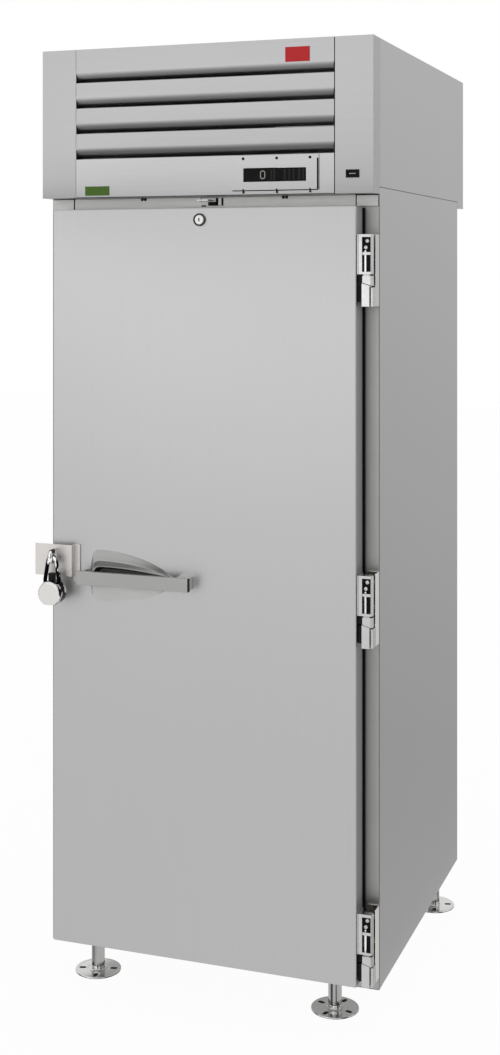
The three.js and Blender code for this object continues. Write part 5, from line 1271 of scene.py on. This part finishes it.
class FRIDGE_OT_hinges(bpy.types.Operator):
    """Build the three lift-off cam hinges: windowed cover on the door, barrel on the jamb, and pin"""
    bl_idname = "fridge.hinges"
    bl_label = "Hinges"

    def execute(self, context):
        foot, barrel, slope = 64.0, 45.0, 0.3
        for name in ("lower", "middle", "upper"):
            low, high = span("hinge_jamb_half_" + name)
            pin = mid("hinge_pin_" + name)
            # The lowest hinge is drawn a little higher than its packed one, as the photograph has it.
            lift = 7.5 if name == "lower" else 0.0
            home = Matrix.Translation((pin.x, pin.y, low.z + lift))
            back = high.y - pin.y
            cover_low, cover_high = span("hinge_door_half_" + name)
            leaf = cover_low.x - pin.x
            top = cover_high.z - low.z
            strip_in = high.x - pin.x - 3.0

            # Cover: a deep frame with a chamfered right side, open at its front.
            bm = bmesh.new()
            verts = prism(bm, [
                (-12.7, -8), (13.5, -8), (16.1, -3), (16.1, 3), (13.5, 8), (-12.7, 8)], foot, top)
            round_off(bm, edges_of(verts), 0.9, 3)
            window = cutter((-5.2, -12, foot + 5), (12.6, 4.4, top - 5.5), home)
            dress(cut_away(settle("hinge_cover_" + name, bm, home), window), "cast_steel", "door",
                  "hinge_door_half_" + name, smooth=30)

            bm = blocks(((leaf, -8, foot), (leaf + 2.6, 28, top), 0.5))
            cam = lean_block(bm, [(-4.6, -9), (13, -9), (15.8, -5), (15.8, 5), (13, 9), (-4.6, 9)],
                             barrel + 0.8, foot - 2.6, slope, False)
            round_off(bm, edges_of(cam), 0.7, 2)
            soft_block(bm, (-4, -3.5, foot - 4), (9, 6, foot + 2), 0.5)
            piece("hinge_cam_" + name, bm, "cast_steel", "door", home=home, smooth=30)

            # Painted shade on the door: a black back in the cover's window, and a black block in the shadow beside the
            # barrel.
            piece("hinge_door_painted_shade_" + name, blocks(
                ((-5.1, 3.2, foot + 5.2), (12.5, 4.3, top - 5.8), 0.2),
                ((-14.6, -4, barrel + 1.6), (-5.4, 28, foot - 0.6), 0.6)), "black_plastic", "door", home=home)

            bm = bmesh.new()
            for x, z in ((1.2, 117.5), (4.4, 130.5)):
                turn(bm, [(0, 0), (1.2, 0), (1.6, 1.6), (3.4, 1.3), (4.3, 0.2), (4.3, -5.2), (0, -5.2)],
                     (x, -2, z), FRONT, 20)
            soft_block(bm, (-5.1, -7.2, 102.5), (12.5, -4.9, 108.5), 0.9, 3)
            piece("hinge_screws_" + name, bm, "cast_steel", "door", home=home)

            # Barrel with a web to its leaf on the jamb. The leaf stays clear of the turning cover.
            bm = bmesh.new()
            verts = lean_block(bm, [(-6, -9), (10.2, -9), (10.2, 9), (-6, 9)], 0, barrel, slope, True)
            round_off(bm, edges_of(verts), 0.8, 2)
            soft_block(bm, (8, 3.5, 0.5), (strip_in + 2, 7.5, barrel - 7.5), 0.6)
            soft_block(bm, (strip_in - 1.4, -4.5, 0), (strip_in + 2.9, 19, barrel - 6.5), 0.9, 3)
            piece("hinge_barrel_" + name, bm, "cast_steel", node="hinge_jamb_half_" + name, home=home)

            # The leaves of the lower two hinges wear the painted light, the upper one plain satin steel.
            bm = blocks(((strip_in, 17.5, 0), (strip_in + 3.0, back - 4.5, top), 0.9, 3),
                        ((low.x - pin.x, back - 2.2, 0), (strip_in + 2, back, top), 0.4))
            for z in (24, 72, 120):
                screw_head(bm, (4, back - 2.2, z), FRONT, 3.6, 1.4)
            piece("hinge_leaf_" + name, bm, "satin_steel" if name == "upper" else "hinge_steel",
                  slot="stainless", home=home)

            # Painted shade on the jamb: a black block between the barrel and the door's edge, and a black strip behind
            # the leaf.
            piece("hinge_jamb_painted_shade_" + name, blocks(
                ((-14.4, -4, 9), (-6.6, 28, barrel - 1.2), 0.6),
                ((strip_in + 0.4, back - 5.0, 0.6), (strip_in + 2.8, back - 0.4, top - 0.4), 0.2)),
                "black_plastic", home=home)

            low, high = span("hinge_pin_" + name)
            low.z, high.z = low.z + lift, high.z + lift
            radius, collar = 3.5, 103.0 + home.translation.z
            piece("hinge_shaft_" + name, turn(bmesh.new(), [
                (0, low.z), (radius - 0.8, low.z), (radius, low.z + 0.8), (radius, collar), (4.4, collar + 0.4),
                (4.4, collar + 4.6), (radius, collar + 5), (radius, high.z - 0.8), (radius - 0.8, high.z),
                (0, high.z)], (pin.x, pin.y, 0), UP, 24), "chrome_plate", "hinge_pins", "hinge_pin_" + name)
        return {"FINISHED"}


# ------------------------------------------------------------------ legs and feet

class FRIDGE_OT_feet(bpy.types.Operator):
    """Build the leg tubes and the flanged feet"""
    bl_idname = "fridge.feet"
    bl_label = "Legs and feet"

    def execute(self, context):
        tubes = bmesh.new()
        for name, turned in (("front_left", 16), ("front_right", 72), ("rear_left", 40), ("rear_right", 16)):
            foot = "foot_" + name
            low, high = span(foot)
            x, y, floor = (low.x + high.x) / 2, (low.y + high.y) / 2, low.z
            turn(tubes, [(10.4, floor + 12.3), (13.9, floor + 12.3), (14.3, floor + 12.9), (14.3, -0.4),
                         (10.4, -0.4), (10.4, floor + 12.3)], (x, y, 0), UP, 40)
            flange = settle("foot_flange_" + name, turn(bmesh.new(), [
                (0, 1.2), (49.6, 1.2), (50, 1.6), (49.4, 2.8), (46, 3), (44.5, 2.6), (43, 3), (24, 3),
                (22.5, 2.6), (21, 3), (16.2, 3), (14.8, 4), (14.3, 5.5), (14.3, 9.2), (15.2, 9.5), (15.2, 11.7),
                (14.6, 12), (10, 12), (10, 56), (0, 56)], (x, y, floor), UP, 64))
            slots = []
            for k in range(4):
                bm = pad(2, (x + 26.5, y - 4.5, floor - 2), (x + 42, y + 4.5, floor + 6), 4.4, 6)
                bmesh.ops.rotate(bm, verts=bm.verts, cent=(x, y, 0),
                                 matrix=Matrix.Rotation(k * math.pi / 2 + math.radians(turned), 3, "Z"))
                slots.append(settle("cutter", bm))
            dress(cut_away(flange, *slots), ["flange_steel", "chrome_plate"], foot, foot, smooth=25)
            # The bright ring round the foot's neck.
            ring = ORIGIN.z + (floor + 9.3) * MM
            second_finish(flange, lambda face: ring < face.center.z < ring + 2.6 * MM)
            # A black rubber pad under each flange, also painted shade: it shows dark through the slots.
            piece("foot_pad_" + name, turn(bmesh.new(), [
                (0, 0), (49.2, 0), (49.9, 0.4), (49.9, 1.1), (49.5, 1.3), (0, 1.3)], (x, y, floor), UP, 48),
                "soft_rubber", foot)
        piece("leg_tubes", tubes, "leg_steel", node="leg_frame")
        return {"FINISHED"}


# ------------------------------------------------------------------ panel and start

class FRIDGE_PT_sidebar(bpy.types.Panel):
    """Lists the refrigerator's builders with their settings"""
    bl_idname = "FRIDGE_PT_sidebar"
    bl_label = "Refrigerator"
    bl_space_type = "VIEW_3D"
    bl_region_type = "UI"
    bl_category = "Refrigerator"

    def draw(self, context):
        for group in SETTINGS:
            settings = getattr(context.scene, group)
            box = self.layout.box()
            for key in settings.bl_rna.properties.keys():
                if key not in {"rna_type", "name"}:
                    box.prop(settings, key)
        for step in STEPS:
            self.layout.operator(step.bl_idname)


SETTINGS = {
    "fridge_finishes": FinishSettings, "fridge_door": DoorSettings,
    "fridge_hood": HoodSettings, "fridge_stage": StageSettings,
}
STEPS = (
    FRIDGE_OT_stage, FRIDGE_OT_cabinet, FRIDGE_OT_shelves, FRIDGE_OT_evaporator, FRIDGE_OT_hood,
    FRIDGE_OT_controls, FRIDGE_OT_cooling_unit, FRIDGE_OT_door, FRIDGE_OT_hasp, FRIDGE_OT_hinges,
    FRIDGE_OT_feet,
)
CLASSES = (*SETTINGS.values(), *STEPS, FRIDGE_PT_sidebar)


def register():
    for one in CLASSES:
        bpy.utils.register_class(one)
    for name, kind in SETTINGS.items():
        setattr(bpy.types.Scene, name, PointerProperty(type=kind))


def unregister():
    for name in SETTINGS:
        delattr(bpy.types.Scene, name)
    for one in reversed(CLASSES):
        bpy.utils.unregister_class(one)


def main():
    register()
    bpy.ops.fridge.stage()
    bpy.ops.fridge.cabinet()
    bpy.ops.fridge.shelves()
    bpy.ops.fridge.evaporator()
    bpy.ops.fridge.hood()
    bpy.ops.fridge.controls()
    bpy.ops.fridge.cooling_unit()
    bpy.ops.fridge.door()
    bpy.ops.fridge.hasp()
    bpy.ops.fridge.hinges()
    bpy.ops.fridge.feet()


if __name__ == "__main__":
    main()
